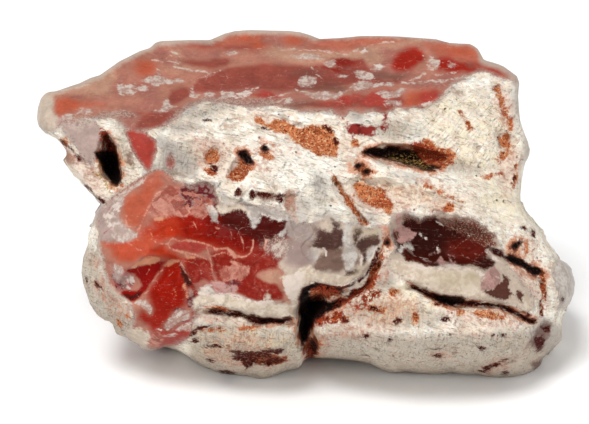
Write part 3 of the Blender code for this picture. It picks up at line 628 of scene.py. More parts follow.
paleLayers["cream"] = {
    "colour": (208, 188, 167), "edge": (1.8, 0.8, 1), "back": (7, 0.3),
    "areas": [
        [(220, 200), (232, 198), (244, 200), (247, 208), (252, 214), (244, 212), (236, 210), (226, 212),
         (221, 217), (217, 210)],
        [(194, 300), (205, 293), (216, 295), (232, 294), (245, 299), (256, 303), (270, 302), (286, 307),
         (299, 300), (302, 322), (270, 322), (250, 320), (232, 314), (222, 308), (206, 306), (196, 308)],
        [(280, 277), (290, 275), (297, 270), (304, 266), (310, 265), (314, 271), (330, 275), (344, 277),
         (356, 277), (366, 268), (374, 258), (380, 246), (382, 262), (366, 278), (352, 288), (340, 294),
         (300, 300), (290, 300), (284, 290), (286, 280)],
        [(394, 262), (412, 264), (428, 268), (444, 268), (456, 268), (470, 269), (482, 274), (480, 290),
         (500, 302), (516, 305), (530, 308), (534, 318), (512, 310), (466, 303), (440, 300), (420, 293),
         (400, 284), (386, 272)],
        [(122, 330), (140, 329), (148, 331), (149, 340), (146, 350), (130, 344)]],
    "ovals": [((530, 300), (8, 8), 40), ((268, 297), (3, 4), 0)]}
paleLayers["moss"] = {
    "colour": (182, 166, 132), "edge": (6, 1.4, 0.6), "back": (7, 0.7),
    "ovals": [
        ((472, 276), (8, 6), 0), ((452, 280), (16, 5), 8), ((372, 230), (9, 3), 0),
        ((362, 271), (8, 3), -40)]}
paleLayers["milk"] = {
    "colour": (190, 164, 152), "edge": (1.2, 0.6, 0.95), "back": (6, 0.35),
    "areas": [
        [(118, 88), (119, 83), (123, 84), (128, 86), (135, 84), (138, 87), (130, 90), (137, 92), (134, 94),
         (125, 93), (121, 96), (119, 92)],
        [(142, 79), (150, 77), (156, 75), (158, 68), (160, 71), (161, 77), (164, 80), (172, 81), (176, 77),
         (184, 80), (180, 83), (170, 84), (163, 83), (158, 86), (152, 85), (147, 82)],
        [(60, 118), (68, 114), (76, 116), (70, 119), (66, 122), (62, 121)],
        [(189, 96), (191, 85), (192, 85), (194, 93), (201, 95), (196, 97)],
        [(203, 96), (207, 92), (215, 93), (213, 97)], [(219, 98), (222, 92), (235, 91), (236, 96)],
        [(296, 90), (305, 91), (320, 92), (335, 93), (343, 91), (351, 90), (342, 94), (337, 99), (325, 99),
         (312, 98), (307, 95)],
        [(298, 85), (299, 79), (304, 76), (312, 78), (318, 76), (317, 83), (311, 87), (303, 87)],
        [(323, 64), (329, 61), (335, 60), (334, 65), (330, 68)],
        [(354, 71), (362, 70), (370, 73), (374, 78), (366, 80), (358, 78)],
        [(371, 69), (375, 65), (382, 63), (384, 67), (378, 71)],
        [(349, 88), (352, 84), (360, 82), (368, 80), (375, 84), (385, 83), (384, 86), (372, 87), (368, 89),
         (358, 90)],
        [(374, 93), (382, 90), (392, 91), (398, 89), (405, 90), (402, 94), (396, 98), (388, 98), (382, 96)],
        [(152, 111), (160, 109), (166, 98), (167, 98), (169, 107), (177, 107), (168, 111), (160, 112)],
        [(111, 204), (114, 202), (120, 204), (121, 211), (117, 211), (112, 209)],
        [(101, 212), (108, 210), (115, 213), (116, 218), (108, 220), (102, 219)],
        [(106, 222), (118, 220), (122, 226), (118, 230), (110, 229)],
        [(124, 228), (130, 229), (136, 232), (135, 238), (128, 238)],
        [(112, 232), (120, 231), (126, 236), (124, 241), (114, 240)],
        [(97, 206), (106, 203), (108, 208), (100, 211)],
        [(112, 198), (122, 193), (132, 186), (140, 181), (146, 178), (142, 184), (132, 190), (124, 197),
         (122, 203), (116, 200)],
        [(163, 328), (168, 320), (173, 313), (178, 310), (188, 309), (190, 312), (190, 319), (182, 321),
         (175, 325), (168, 331)],
        [(175, 330), (182, 325), (188, 322), (191, 322), (191, 330), (185, 330), (178, 331)],
        [(135, 303), (140, 299), (147, 301), (152, 307), (152, 314), (148, 312), (142, 307)],
        [(114, 264), (121, 266), (124, 272), (132, 277), (136, 282), (128, 279), (118, 274)]],
    "ovals": [
        ((143, 88.5), (6, 2), 0), ((86, 111), (8, 2.5), -6), ((392, 103), (7, 3), 0), ((344, 76), (5, 2), 0),
        ((308, 57), (14, 3), 0), ((232, 53), (6, 1.6), 0), ((286, 102), (5, 2), -30), ((451, 65), (4, 3), 0),
        ((390, 84), (4, 2), 0), ((436, 64), (4, 5), 0), ((204, 291), (6, 5), 0), ((278, 250), (6, 7), -20),
        ((127, 287), (4, 1.6), 10), ((439, 250), (2.4, 2.6), 0), ((172, 335), (4, 1.6), -10)],
    "veins": [([(403, 83), (430, 82), (448, 80)], 0.8), ([(430, 60), (434, 64)], 1.6)]}
paleLayers["thread"] = {
    "colour": (220, 200, 186), "edge": (0.8, 0.4, 0.85), "back": (5, 0.8),
    "veins": [
        ([(424, 50), (430, 56), (437, 62)], 0.5), ([(433, 57), (428, 68), (418, 78)], 0.8),
        ([(404, 83), (416, 78), (428, 72), (440, 64), (450, 60)], 0.5),
        ([(430, 66), (436, 76), (448, 74), (462, 70)], 0.3), ([(424, 52), (424, 58), (428, 66)], 0.3),
        ([(440, 82), (462, 77), (480, 73)], 0.7), ([(311, 67), (316, 74), (323, 79)], 0.4),
        ([(278, 49), (300, 50), (322, 51), (345, 54)], 0.4),
        ([(345, 55), (362, 48), (374, 44), (395, 42)], 0.5),
        ([(192, 84), (200, 78), (210, 73), (222, 70)], 0.2), ([(60, 92), (80, 87), (100, 80)], 0.1),
        ([(150, 60), (166, 62), (178, 61)], 0.2),
        ([(170, 57), (171, 53), (176, 53), (179, 57), (180, 62), (174, 66)], 0.5),
        ([(174, 66), (190, 70), (206, 72)], 0.8), ([(262, 99), (276, 96), (292, 92)], 0.2),
        ([(278, 103), (284, 99), (290, 98)], 0.6), ([(240, 50), (262, 48), (280, 46)], 0.2),
        ([(488, 277), (494, 276), (500, 278)], 0.5), ([(480, 283), (485, 277), (491, 276)], 0.6),
        ([(82, 100), (84, 108), (80, 112)], 0.4), ([(66, 116), (70, 128)], 0.6)]}
paleLayers["frost"] = {
    "colour": (234, 218, 206), "edge": (0.9, 0.9, 0.95), "back": (5, 0.55),
    "areas": [
        [(233, 97), (238, 93), (250, 89), (259, 88), (252, 92), (248, 95), (240, 98)],
        [(286, 276), (298, 270), (304, 276), (304, 284), (298, 290), (296, 300), (288, 298), (284, 286)]],
    "ovals": [
        ((450, 90), (4, 2), -20), ((117, 206), (4, 4), 20), ((106, 216), (5, 3), 0),
        ((113, 225), (5, 2.4), 20), ((204, 291), (5, 5), 0), ((177, 316), (8, 2.5), -30),
        ((184, 326), (5, 2), -20), ((425, 104), (4, 1.4), 0), ((420, 235), (1.5, 1.5), 0),
        ((426, 238), (1.5, 1.5), 0), ((163, 323), (1.6, 1.4), 0), ((365, 50), (4, 2), 0),
        ((378, 66), (3, 1.5), 0), ((439, 249), (1.4, 1.4), 0)],
    "veins": [
        ([(200, 292), (212, 296), (226, 294), (240, 298), (258, 303), (272, 301)], 1.4),
        ([(410, 266), (436, 268), (456, 267), (470, 270), (484, 274)], 1.4), ([(115, 233), (120, 240)], 0.8),
        ([(323, 249), (326, 256)], 0.9), ([(209, 206), (215, 211)], 0.8),
        ([(262, 214), (272, 217), (282, 221)], 0.8), ([(362, 254), (361, 266)], 0.7),
        ([(370, 262), (378, 247)], 0.5), ([(402, 246), (407, 249), (414, 255)], 0.8),
        ([(414, 255), (424, 260), (436, 264)], 0.4), ([(436, 221), (444, 226)], 0.3),
        ([(466, 230), (470, 238)], 0.2), ([(486, 250), (492, 248), (500, 248)], 0.8),
        ([(488, 251), (492, 257), (500, 262)], 1.2), ([(130, 266), (137, 266)], 0.8),
        ([(128, 283), (136, 286)], 0.5), ([(116, 268), (128, 279)], 0.5), ([(154, 331), (164, 329)], 0.4)]}
paleLayers["flush"] = {
    "colour": (172, 84, 86), "edge": (0.8, 0.5, 0.85), "back": (5, 0.85),
    "veins": [
        ([(166, 326), (178, 318), (190, 311)], 0.7), ([(170, 332), (182, 324), (194, 318)], 0.7),
        ([(176, 314), (186, 306)], 0.4), ([(186, 330), (194, 326)], 0.6),
        ([(112, 270), (122, 278), (132, 288)], 0.8), ([(118, 266), (130, 276)], 0.6),
        ([(112, 282), (122, 289)], 0.8), ([(122, 270), (128, 284)], 0.4),
        ([(98, 222), (106, 214), (112, 204)], 0.3), ([(103, 234), (112, 226), (122, 229)], 0.4),
        ([(112, 226), (115, 213)], 0.2), ([(216, 288), (228, 294), (240, 298)], 0.3)]}
paleLayers["peach"] = {
    "colour": (216, 150, 116), "edge": (1.2, 0.6, 0.95), "back": (5, 0.85),
    "areas": [
        [(136, 264), (140, 260), (146, 257), (155, 256), (159, 258), (160, 261), (154, 264), (147, 264),
         (140, 266), (129, 268), (124, 269)],
        [(164, 266), (168, 260), (175, 259), (181, 261), (174, 262), (169, 265)]],
    "ovals": [((160, 219), (5, 1.8), -10)],
    "veins": [
        ([(182, 252), (188, 258), (194, 258)], 1.4), ([(174, 289), (176, 296)], 0),
        ([(184, 285), (187, 297)], 1.2)]}
paleLayers["seam"] = {
    "colour": (228, 160, 136), "edge": (0.8, 0.35, 0.9), "back": (5, 0.8),
    "areas": [[(226, 248), (231, 250), (237, 256), (236, 259), (231, 256)]],
    "ovals": [((234, 263), (4, 1.4), 20)],
    "veins": [
        ([(163, 190), (158, 193), (153, 199), (149, 206), (146, 214), (144, 220), (140, 226),
          (136, 230)], 0.5),
        ([(126, 216), (127, 226), (137, 227)], 0.4), ([(150, 233), (153, 240), (158, 244), (167, 244)], 0.5),
        ([(167, 244), (171, 239), (178, 240), (192, 241), (205, 244), (216, 248), (228, 249),
          (236, 257)], 0.8),
        ([(167, 244), (170, 248), (176, 250), (182, 252), (188, 253), (198, 255), (206, 259)], 0.7),
        ([(207, 248), (209, 256), (211, 263), (213, 271), (215, 281)], 0.6),
        ([(210, 256), (216, 254), (225, 253), (232, 257)], 0.4),
        ([(238, 256), (246, 257), (251, 252), (253, 242)], 0.8), ([(240, 234), (243, 242), (244, 250)], 0.5),
        ([(229, 225), (232, 240)], 0.2), ([(214, 226), (219, 229)], 0.6), ([(216, 232), (214, 234)], 0.2),
        ([(267, 240), (264, 248)], 1), ([(163, 268), (155, 278), (152, 282)], 0.5),
        ([(149, 290), (141, 297)], 0.5), ([(149, 268), (145, 276)], 0), ([(181, 264), (184, 269)], 0.7),
        ([(184, 270), (190, 281)], 0.1), ([(128, 242), (134, 247), (141, 250)], 0.5),
        ([(115, 243), (119, 250)], 0.3), ([(168, 190), (176, 196), (182, 205)], 0),
        ([(158, 206), (170, 202)], 0.1), ([(203, 219), (208, 213), (210, 207)], 0.5),
        ([(189, 209), (190, 214)], 0.7), ([(193, 222), (197, 229)], 0.2), ([(156, 280), (160, 286)], 0.1)]}

# Colours of the rind in the order they are laid on: painted shade over its ground, and what lies on the
# ground.
paintedShadeLayers = {}
# Painted shade: the rind made greyer low down, under the top edge and beside the hollows.
paintedShadeLayers["paintedShade"] = {
    "colour": (180, 166, 149), "edge": (6, 1, 0.75), "back": (12, 0.15),
    "areas": [
        [(190, 320), (230, 322), (300, 330), (300, 380), (240, 390), (190, 365)],
        [(310, 330), (420, 335), (520, 330), (560, 330), (560, 390), (400, 390), (310, 370)],
        [(75, 240), (98, 250), (104, 275), (120, 296), (140, 330), (130, 350), (90, 320), (75, 280)]],
    "ovals": [
        ((180, 160), (22, 16), 0), ((392, 130), (26, 9), 0), ((458, 166), (20, 6), 8),
        ((390, 314), (52, 13), 4), ((320, 190), (10, 18), -10), ((205, 112), (24, 5), -14),
        ((175, 122), (8, 8), 0), ((120, 160), (6, 30), 0)]}
rindLayers = {}
# A grey opaline tint of the rind, in part painted shade, as the oval under the top edge at (186, 126).
rindLayers["opaline"] = {
    "colour": (184, 174, 165), "edge": (5, 1, 0.7), "back": (8, 0.4),
    "areas": [
        [(218, 186), (232, 200), (250, 203), (250, 212), (232, 212), (222, 206)],
        [(160, 136), (176, 142), (196, 164), (198, 178), (176, 174), (160, 162)]],
    "ovals": [
        ((320, 185), (7, 12), 0), ((410, 178), (14, 3), 8), ((372, 218), (9, 5), 20),
        ((395, 262), (8, 6), 0), ((300, 210), (12, 14), 0), ((385, 280), (10, 12), 0),
        ((355, 116), (10, 6), 0), ((190, 108), (12, 5), -20), ((515, 100), (5, 26), 0),
        ((526, 150), (5, 12), 0), ((186, 126), (16, 7), -24), ((545, 335), (16, 16), 0),
        ((326, 218), (18, 7), 6)]}
rindLayers["taupe"] = {
    "colour": (148, 118, 102), "edge": (3, 1.3, 0.95), "back": (7, 0.6),
    "ovals": [
        ((290, 199), (6, 9), 0), ((266, 196), (13, 4), 4), ((240, 193), (6, 4), -30),
        ((129, 156), (4, 12), -12), ((456, 92), (7, 3), 20), ((68, 158), (5, 9), -40)]}
rindLayers["stain"] = {
    "colour": (198, 144, 120), "edge": (4, 1.6, 0.75), "back": (8, 0.25),
    "areas": [
        [(190, 136), (205, 138), (222, 140), (236, 144), (228, 158), (226, 176), (214, 176), (204, 162),
         (192, 152)],
        [(336, 180), (350, 186), (375, 182), (400, 187), (422, 188), (426, 195), (410, 202), (392, 216),
         (370, 211), (348, 200)],
        [(502, 261), (514, 262), (532, 273), (541, 286), (541, 304), (528, 291), (512, 276)]],
    "ovals": [
        ((425, 199), (10, 5), 0), ((274, 149), (16, 4), 8), ((266, 165), (12, 8), 0),
        ((440, 190), (20, 6), 30), ((440, 205), (18, 8), 10), ((400, 268), (12, 9), 0),
        ((340, 312), (40, 10), 4), ((395, 308), (24, 12), 0), ((352, 332), (22, 8), 0),
        ((486, 318), (34, 10), 8), ((508, 168), (10, 24), 0), ((504, 108), (8, 24), -14),
        ((380, 324), (18, 8), 0), ((222, 316), (40, 8), 8), ((246, 356), (40, 12), 4),
        ((110, 290), (12, 20), -30), ((120, 308), (14, 10), 30), ((236, 168), (8, 14), 30),
        ((207, 156), (12, 12), 0), ((470, 330), (12, 5), 0), ((315, 345), (14, 12), 0),
        ((528, 250), (7, 11), -10), ((543, 286), (5, 18), -10), ((563, 290), (7, 10), -30),
        ((384, 200), (30, 8), 6), ((92, 176), (10, 20), -30), ((440, 355), (8, 4), 0),
        ((496, 366), (18, 6), -20), ((350, 146), (12, 7), 0), ((240, 340), (14, 8), 0),
        ((95, 262), (6, 8), 0), ((72, 160), (7, 14), -30), ((240, 340), (30, 5), 0),
        ((292, 205), (5, 14), 0), ((262, 118), (12, 6), 20)],
    "veins": [([(384, 232), (386, 256), (380, 278), (360, 296), (330, 306)], 7)]}
rindLayers["crimson"] = {
    "colour": (140, 46, 40), "edge": (1.6, 1.2, 1), "back": (6, 0.65),
    "areas": [[(342, 124), (350, 126), (362, 124), (376, 128), (372, 136), (360, 135), (348, 134)]],
    "veins": [
        ([(342, 110), (342, 118), (347, 124)], 1.2), ([(387, 111), (386, 118), (382, 127)], 1.6),
        ([(390, 122), (384, 130)], 1)]}
rindLayers["bruise"] = {
    "colour": (112, 78, 70), "edge": (3, 1, 0.8), "back": (7, 0.7),
    "areas": [
        [(524, 350), (531, 339), (538, 327), (545, 321), (552, 322), (550, 334), (545, 341), (543, 351),
         (536, 353), (530, 345)],
        [(530, 362), (541, 358), (542, 366), (535, 371)]],
    "veins": [([(170, 152), (173, 168)], 1.5), ([(82, 152), (84, 160)], 3)]}
rindLayers["rust"] = {
    "colour": (176, 84, 46), "edge": (1.5, 1.2, 1), "back": (7.5, 0.45),
    "areas": [
        [(252, 115), (262, 118), (268, 124), (285, 120), (300, 129), (313, 124), (333, 129), (340, 144),
         (337, 156), (318, 156), (300, 145), (285, 134), (265, 128), (255, 122)],
        [(412, 148), (424, 138), (432, 142), (440, 147), (455, 150), (457, 158), (443, 169), (430, 171),
         (418, 160)],
        [(352, 185), (364, 182), (376, 186), (384, 190), (388, 198), (394, 206), (390, 213), (376, 208),
         (362, 202), (354, 194)],
        [(382, 238), (386, 244), (384, 256), (381, 266), (379, 278), (375, 287), (368, 291), (356, 297),
         (344, 300), (352, 292), (364, 284), (370, 272), (376, 262), (380, 250)],
        [(308, 292), (318, 287), (334, 289), (340, 292), (330, 298), (318, 301), (309, 299)],
        [(536, 272), (542, 270), (545, 278), (548, 290), (545, 300), (540, 291), (538, 282)],
        [(225, 178), (234, 170), (240, 160), (248, 162), (252, 168), (246, 176), (238, 182)]],
    "ovals": [
        ((212, 157), (7, 9), 0), ((355, 144), (6, 5), 0), ((449, 208), (6, 5), -30),
        ((505, 140), (7, 8), -10), ((504, 156), (5, 6), 20), ((492, 176), (7, 2.5), -6),
        ((366, 171), (8, 4), 20), ((268, 156), (6, 3), 10), ((108, 168), (3, 14), -24),
        ((486, 314), (22, 4), 8), ((222, 309), (16, 3), 10), ((312, 345), (9, 10), 0),
        ((527, 247), (3, 8), -6), ((264, 359), (22, 6), 4), ((121, 323), (4, 2.5), 60),
        ((127, 315), (6, 1.6), 45), ((210, 172), (7, 3), 30), ((415, 318), (4, 5), 0),
        ((375, 309), (10, 4), 6), ((337, 318), (14, 3), 0), ((561, 292), (3, 8), -20),
        ((66, 142), (5, 4), 30), ((122, 185), (4, 4), 0), ((462, 312), (5, 4), 0), ((393, 293), (5, 4), -20),
        ((243, 328), (10, 2), 0), ((210, 330), (12, 2), 0)],
    "veins": [
        ([(334, 178), (346, 198), (356, 212), (366, 224)], 2.6), ([(461, 112), (466, 120), (471, 130)], 1.6),
        ([(496, 86), (503, 104), (508, 118), (511, 130)], 2.4),
        ([(408, 280), (418, 288), (432, 298), (446, 307)], 2.6), ([(516, 165), (514, 186)], 1.6),
        ([(206, 311), (230, 311), (255, 319), (290, 322)], 1.6), ([(541, 298), (541, 316)], 1.2),
        ([(426, 186), (440, 192), (456, 200), (470, 203)], 1)]}

# Dark clefts, laid over gem and rind alike.
cleftLayers = {}
cleftLayers["umberLines"] = {
    "colour": (74, 18, 10), "edge": (1.2, 0.8, 1), "back": (6.5, 0.58),
    "areas": [
        [(101, 126), (107, 132), (112, 144), (114, 152), (107, 150), (105, 142), (101, 134)],
        [(206, 310), (214, 308), (224, 311), (240, 312), (256, 317), (272, 318), (291, 318.5), (292, 322),
         (262, 324), (250, 322), (243, 317), (232, 317), (222, 314), (212, 314)],
        [(229, 351), (240, 349), (252, 352), (266, 350), (284, 348), (283, 353), (272, 354), (268, 359),
         (258, 358), (252, 366), (246, 369), (243, 361), (236, 356)],
        [(533, 338), (540, 335), (545, 340), (543, 348), (538, 352), (535, 346)],
        [(541, 327), (548, 325), (550, 331), (543, 334)],
        [(478, 371), (486, 366), (494, 363), (501, 361), (497, 367), (488, 371), (482, 373)],
        [(499, 372), (505, 371), (510, 372), (508, 375), (502, 375)],
        [(342, 298), (352, 291), (364, 284), (374, 276), (372, 282), (360, 292), (350, 298)]],
    "ovals": [
        ((238, 192), (5, 3), -30), ((266, 194), (8, 3), 0), ((252, 196), (3, 4), 0),
        ((281, 199), (4, 5), 10), ((208, 121), (5, 1.6), 10), ((214, 168), (5, 3), 40),
        ((329, 130), (6, 1.6), 20), ((336, 142), (2, 5), 0), ((264, 128), (5, 1.6), 10),
        ((375, 309), (6, 2.5), 6), ((320, 318), (5, 2), 0), ((345, 320), (5, 2), 0),
        ((398, 321), (4, 3), -30), ((445, 319), (3, 3), 0), ((366, 337), (2.5, 2.5), 0),
        ((390, 340), (2.5, 2), 0), ((393, 355), (2, 2), 0), ((438, 357), (4, 2), 0), ((482, 348), (3, 2), 0),
        ((493, 335), (2.5, 2), 0), ((505, 335), (3, 2), 0), ((228, 372), (8, 2.5), 6),
        ((210, 360), (4, 2), 10), ((540, 280), (3, 2), 0), ((562, 300), (2, 3), 0),
        ((270, 361), (10, 3), -6), ((238, 357), (7, 4), 10), ((87, 281), (2, 3), 0),
        ((533, 232), (2.5, 4), 10), ((525, 228), (4, 2), 30), ((204, 327), (10, 1.5), -2),
        ((193, 333), (5, 2), -50), ((195, 340), (3, 2), 0), ((212, 346), (10, 1.5), 0)],
    "veins": [
        ([(466, 303), (480, 304), (494, 305), (506, 308), (516, 314), (526, 319), (533, 321)], 1.8),
        ([(414, 287), (424, 291), (434, 297)], 2.2), ([(494, 251), (502, 255)], 3),
        ([(436, 303), (450, 305), (462, 304)], 1.2), ([(520, 311), (530, 315)], 0.6),
        ([(538, 280), (545, 281)], 0.8), ([(303, 322), (304, 336), (300, 352)], 1.4),
        ([(540, 300), (541, 315)], 1),
        ([(302, 298), (305, 288), (314, 284), (326, 286), (341, 289), (352, 285), (362, 278), (371, 267),
          (376, 258), (379, 248)], 1.4),
        ([(502, 360), (508, 358), (514, 357)], 0.8), ([(499, 147), (498, 139), (501, 133), (506, 131)], 1),
        ([(332, 179), (345, 199)], 0.5), ([(60, 140), (70, 148), (80, 160)], 1.2),
        ([(86, 186), (96, 196), (104, 202)], 1.2), ([(516, 164), (513, 184)], 0.6),
        ([(96, 282), (102, 290)], 0.6)]}
# Near-black paint in the deepest hollows and cracks.
cleftLayers["nearBlack"] = {
    "colour": (14, 6, 3), "edge": (0.9, 0.5, 1), "back": (6.5, 0.66),
    "areas": [
        [(106, 134), (112, 145), (117, 155), (120, 168), (120, 180), (117, 186), (112, 183), (107, 174),
         (102, 164), (97, 158), (95, 152), (100, 151), (106, 152), (109, 147), (107, 141)],
        [(362, 153), (370, 149), (385, 147), (405, 149), (416, 152), (422, 161), (440, 168), (430, 171),
         (410, 165), (390, 160), (372, 155)],
        [(301, 300), (302, 292), (306, 287), (309, 292), (310, 300), (330, 302), (344, 299), (340, 306),
         (326, 312), (316, 320), (309, 330), (306, 340), (302, 342), (299, 330), (302, 318), (300, 308)],
        [(432, 294), (442, 296), (455, 297), (462, 298), (467, 300), (462, 304), (450, 305), (440, 302)],
        [(511, 247), (516, 243), (521, 241), (522, 244), (515, 249), (512, 250)],
        [(504, 257), (510, 254), (520, 259), (526, 262), (530, 266), (541, 269), (536, 274), (529, 272),
         (519, 265), (511, 262)],
        [(300, 302), (300, 294), (303, 288), (309, 285), (316, 283), (322, 285), (332, 287), (342, 289),
         (343, 292), (330, 290), (314, 288), (308, 292), (306, 302)],
        [(238, 152), (244, 151), (251, 157), (252, 163), (246, 163), (242, 157)]],
    "ovals": [
        ((265, 148), (3, 2.4), 0), ((312, 348), (4, 8), 10), ((366, 172), (3, 2.5), 0),
        ((533, 271), (6, 2.5), 20), ((358, 166), (3, 2), 0), ((387, 243), (1, 2), 0)],
    "veins": [
        ([(252, 316), (262, 320), (275, 321), (290, 320)], 1.2),
        ([(468, 302), (484, 304), (500, 306), (510, 310), (518, 315), (526, 318.5), (533, 321)], 0.5),
        ([(406, 250), (413, 256), (409, 259), (422, 262), (436, 265)], 0.6)]}
# Scorched red-brown in the cavities, painted lighter as light in the shaded hollows, above all over the top
# of the left hole.
cleftLayers["scorchWithPaintedLight"] = {
    "colour": (166, 64, 34), "edge": (2.5, 1.6, 1), "back": (6, 0.9),
    "areas": [
        [(98, 125), (102, 126), (108, 135), (113, 146), (115, 152), (110, 151), (104, 148), (100, 142),
         (102, 134)],
        [(410, 145), (420, 140), (430, 144), (440, 150), (452, 156), (450, 162), (440, 165), (428, 163),
         (418, 157)],
        [(312, 290), (322, 287), (334, 289), (342, 292), (330, 298), (316, 298)],
        [(340, 300), (352, 293), (366, 284), (376, 272), (378, 280), (364, 294), (350, 302), (334, 306)],
        [(308, 330), (318, 320), (330, 314), (344, 310), (346, 318), (330, 324), (318, 326)]],
    "ovals": [((308, 352), (5, 8), 0), ((366, 300), (12, 5), -30)]}
cleftLayers["olive"] = {
    "colour": (176, 140, 78), "edge": (3, 1.2, 0.9), "back": (5, 0.9),
    "areas": [
        [(96, 160), (101, 164), (106, 174), (111, 184), (116, 190), (112, 195), (102, 186), (97, 174)],
        [(384, 158), (396, 154), (412, 152), (424, 162), (436, 168), (424, 169), (404, 164)]]}

# Where the rind's hairlines slant up to the right, where the rind is yellower, and where its upward-facing
# crests are painted whiter as a highlight.
slantedZone = {
    "back": (14, 0.2),
    "areas": [[(420, 110), (450, 95), (520, 80), (530, 150), (520, 185), (470, 172), (430, 165)]]}
honeyZone = {
    "back": (12, 0),
    "ovals": [
        ((470, 130), (50, 34), 30), ((500, 200), (40, 20), 20), ((410, 190), (60, 14), 10),
        ((396, 300), (40, 24), 0), ((130, 150), (10, 24), 0), ((240, 345), (50, 14), 0)]}
# Painted highlight: the upward-facing crests of the rind made whiter.
paintedCrestLightZone = {
    "back": (12, 0),
    "ovals": [((294, 166), (56, 20), 24), ((420, 178), (44, 8), 12)]}
# Every zone by name. Its place in this order gives the noise that spreads it behind.
zones = {
    "gem": gemZone, "slanted": slantedZone, "honey": honeyZone, "paintedCrestLight": paintedCrestLightZone,
    **clearLayers, **paleLayers, **paintedShadeLayers, **rindLayers, **cleftLayers}
zoneReach = 12          # how far in and out of a zone its depth is kept, in pixels of the drawing
zoneFade = (0.5, 7)     # how far behind the rim the drawn zones fade, in mm

# Fine relief, in mm: what the skin has beyond the solid's form.
relief = {
    # noises: size and height
    "wrinkle": (3.2, 0.60), "knobble": (1.2, 0.24), "rindChips": (3.6, 0.50),
    "gemChips": (6.5, 0.34), "gemFlakes": (2.6, 0.14), "ripple": (1.5, 0.04), "rustGrain": (0.8, 0.30),
    # how deep these zones are sunk, and the height of the lip round the gem
    "rustSunk": 0.30, "nearBlackSunk": 0.7, "umberSunk": 0.3, "stainSunk": 0.10, "lip": 0.22,
    "lipWidth": 3}  # pixels of the drawing


# Chipped facets: each point takes the tilted plane of its nearest scattered centre, slope . (p - centre).
def chipNoise(places, seed):
    places = places + 0.3 * np.column_stack([latticeNoise(places * 1.7, seed + k) for k in (1, 2, 3)])
    cell = np.floor(places)
    weights = np.array([(127.1, 269.5, 113.5), (311.7, 183.3, 271.9), (74.7, 246.1, 124.6)])
    nearest = np.full(len(places), np.inf)
    height = np.zeros(len(places))
    for corner in np.ndindex(3, 3, 3):
        neighbour = cell + corner - np.ones(3)
        wave = np.sin(neighbour @ weights + 9.1 * seed) * 43758.5453
        scattered = wave - np.floor(wave)
        offset = places - neighbour - scattered
        distance = np.linalg.norm(offset, axis=1)
        slope = 2 * np.modf(scattered * 57.3)[0] - 1
        height = np.where(distance < nearest, np.sum(offset * slope, axis=1), height)
        nearest = np.minimum(nearest, distance)
    return height


# Signed distance in pixels to a closed outline, positive inside: crossings to the right are counted.
def areaInside(pixels, outline):
    distance = pathDistance(pixels, outline + outline[:1])
    across, down = pixels.T
    inside = np.zeros(len(pixels), bool)
    for (x0, y0), (x1, y1) in zip(outline, outline[1:] + outline[:1]):
        if y0 != y1:
            crossing = x0 + (down - y0) * (x1 - x0) / (y1 - y0)
            inside ^= ((y0 > down) != (y1 > down)) & (across < crossing)
    return np.where(inside, distance, -distance)


# How far inside a zone each point lies, in pixels: the largest over its areas, ovals and veins.
def zoneDepth(pixels, zone):
    inside = [areaInside(pixels, outline) for outline in zone.get("areas", ())]
    for middle, half, turn in zone.get("ovals", ()):
        along, side = ovalShares(pixels, middle, half, turn)
        inside.append((1 - np.hypot(along, side)) * min(half))
    inside += [halfWidth - pathDistance(pixels, path) for path, halfWidth in zone.get("veins", ())]
    return np.clip(np.max(inside, axis=0), -zoneReach, zoneReach)


# Zones of the whole skin: drawn ones on the front, noise patches behind, blended past the rim.
def findZones(pixels, places, behind):
    pixels = pixels + np.column_stack([latticeNoise(pixels / 6, seed) for seed in (21, 22)])
    share = smoothStep(behind, *zoneFade)
    found = {}
    for seed, (name, zone) in enumerate(zones.items(), start=30):
        size, level = zone["back"]
        patches = np.clip((cloudNoise(places / size, seed) - level) * 30, -zoneReach, zoneReach)
        found[name] = zoneDepth(pixels, zone) * (1 - share) + patches * share
    return found


# Fine relief in mm: wrinkles h * (1 - 2|n|) and small chips on the rind, large chips and flakes on the gem,
# sunk rust, near-black hollows and stains, and a lip h * exp(-(d/w)^2) where the rind ends. Also gives the
# crags alone.
def fineRelief(places, found):
    def noise(name, seed, maker=latticeNoise):
        size, height = relief[name]
        return height * maker(places / size, seed)

    size, height = relief["wrinkle"]
    wrinkles = height * (0.6 - 2 * np.abs(cloudNoise(places / size, 61)))
    crags = wrinkles + noise("knobble", 62) + noise("rindChips", 66, chipNoise)
    rind = smoothStep(-found["gem"], -1.5, 1.5)
    rust = smoothStep(found["rust"], -1, 4) * rind
    nearBlack = smoothStep(found["nearBlack"], -1, 4)
    umber = smoothStep(found["umberLines"], -1, 3) * rind
    raised = rind * (1 - 0.6 * rust) * crags
    chips = noise("gemChips", 63, chipNoise) + noise("gemFlakes", 67, chipNoise)
    raised += (1 - rind) * (chips + noise("ripple", 64))
    raised += rust * (noise("rustGrain", 65) - relief["rustSunk"]) - relief["nearBlackSunk"] * nearBlack
    raised -= relief["umberSunk"] * umber
    raised += relief["lip"] * np.exp(-(found["gem"] / relief["lipWidth"]) ** 2) * (1 - rust) * (1 - nearBlack)
    raised -= relief["stainSunk"] * rind * smoothStep(found["stain"], -1, 3)
    return raised, crags


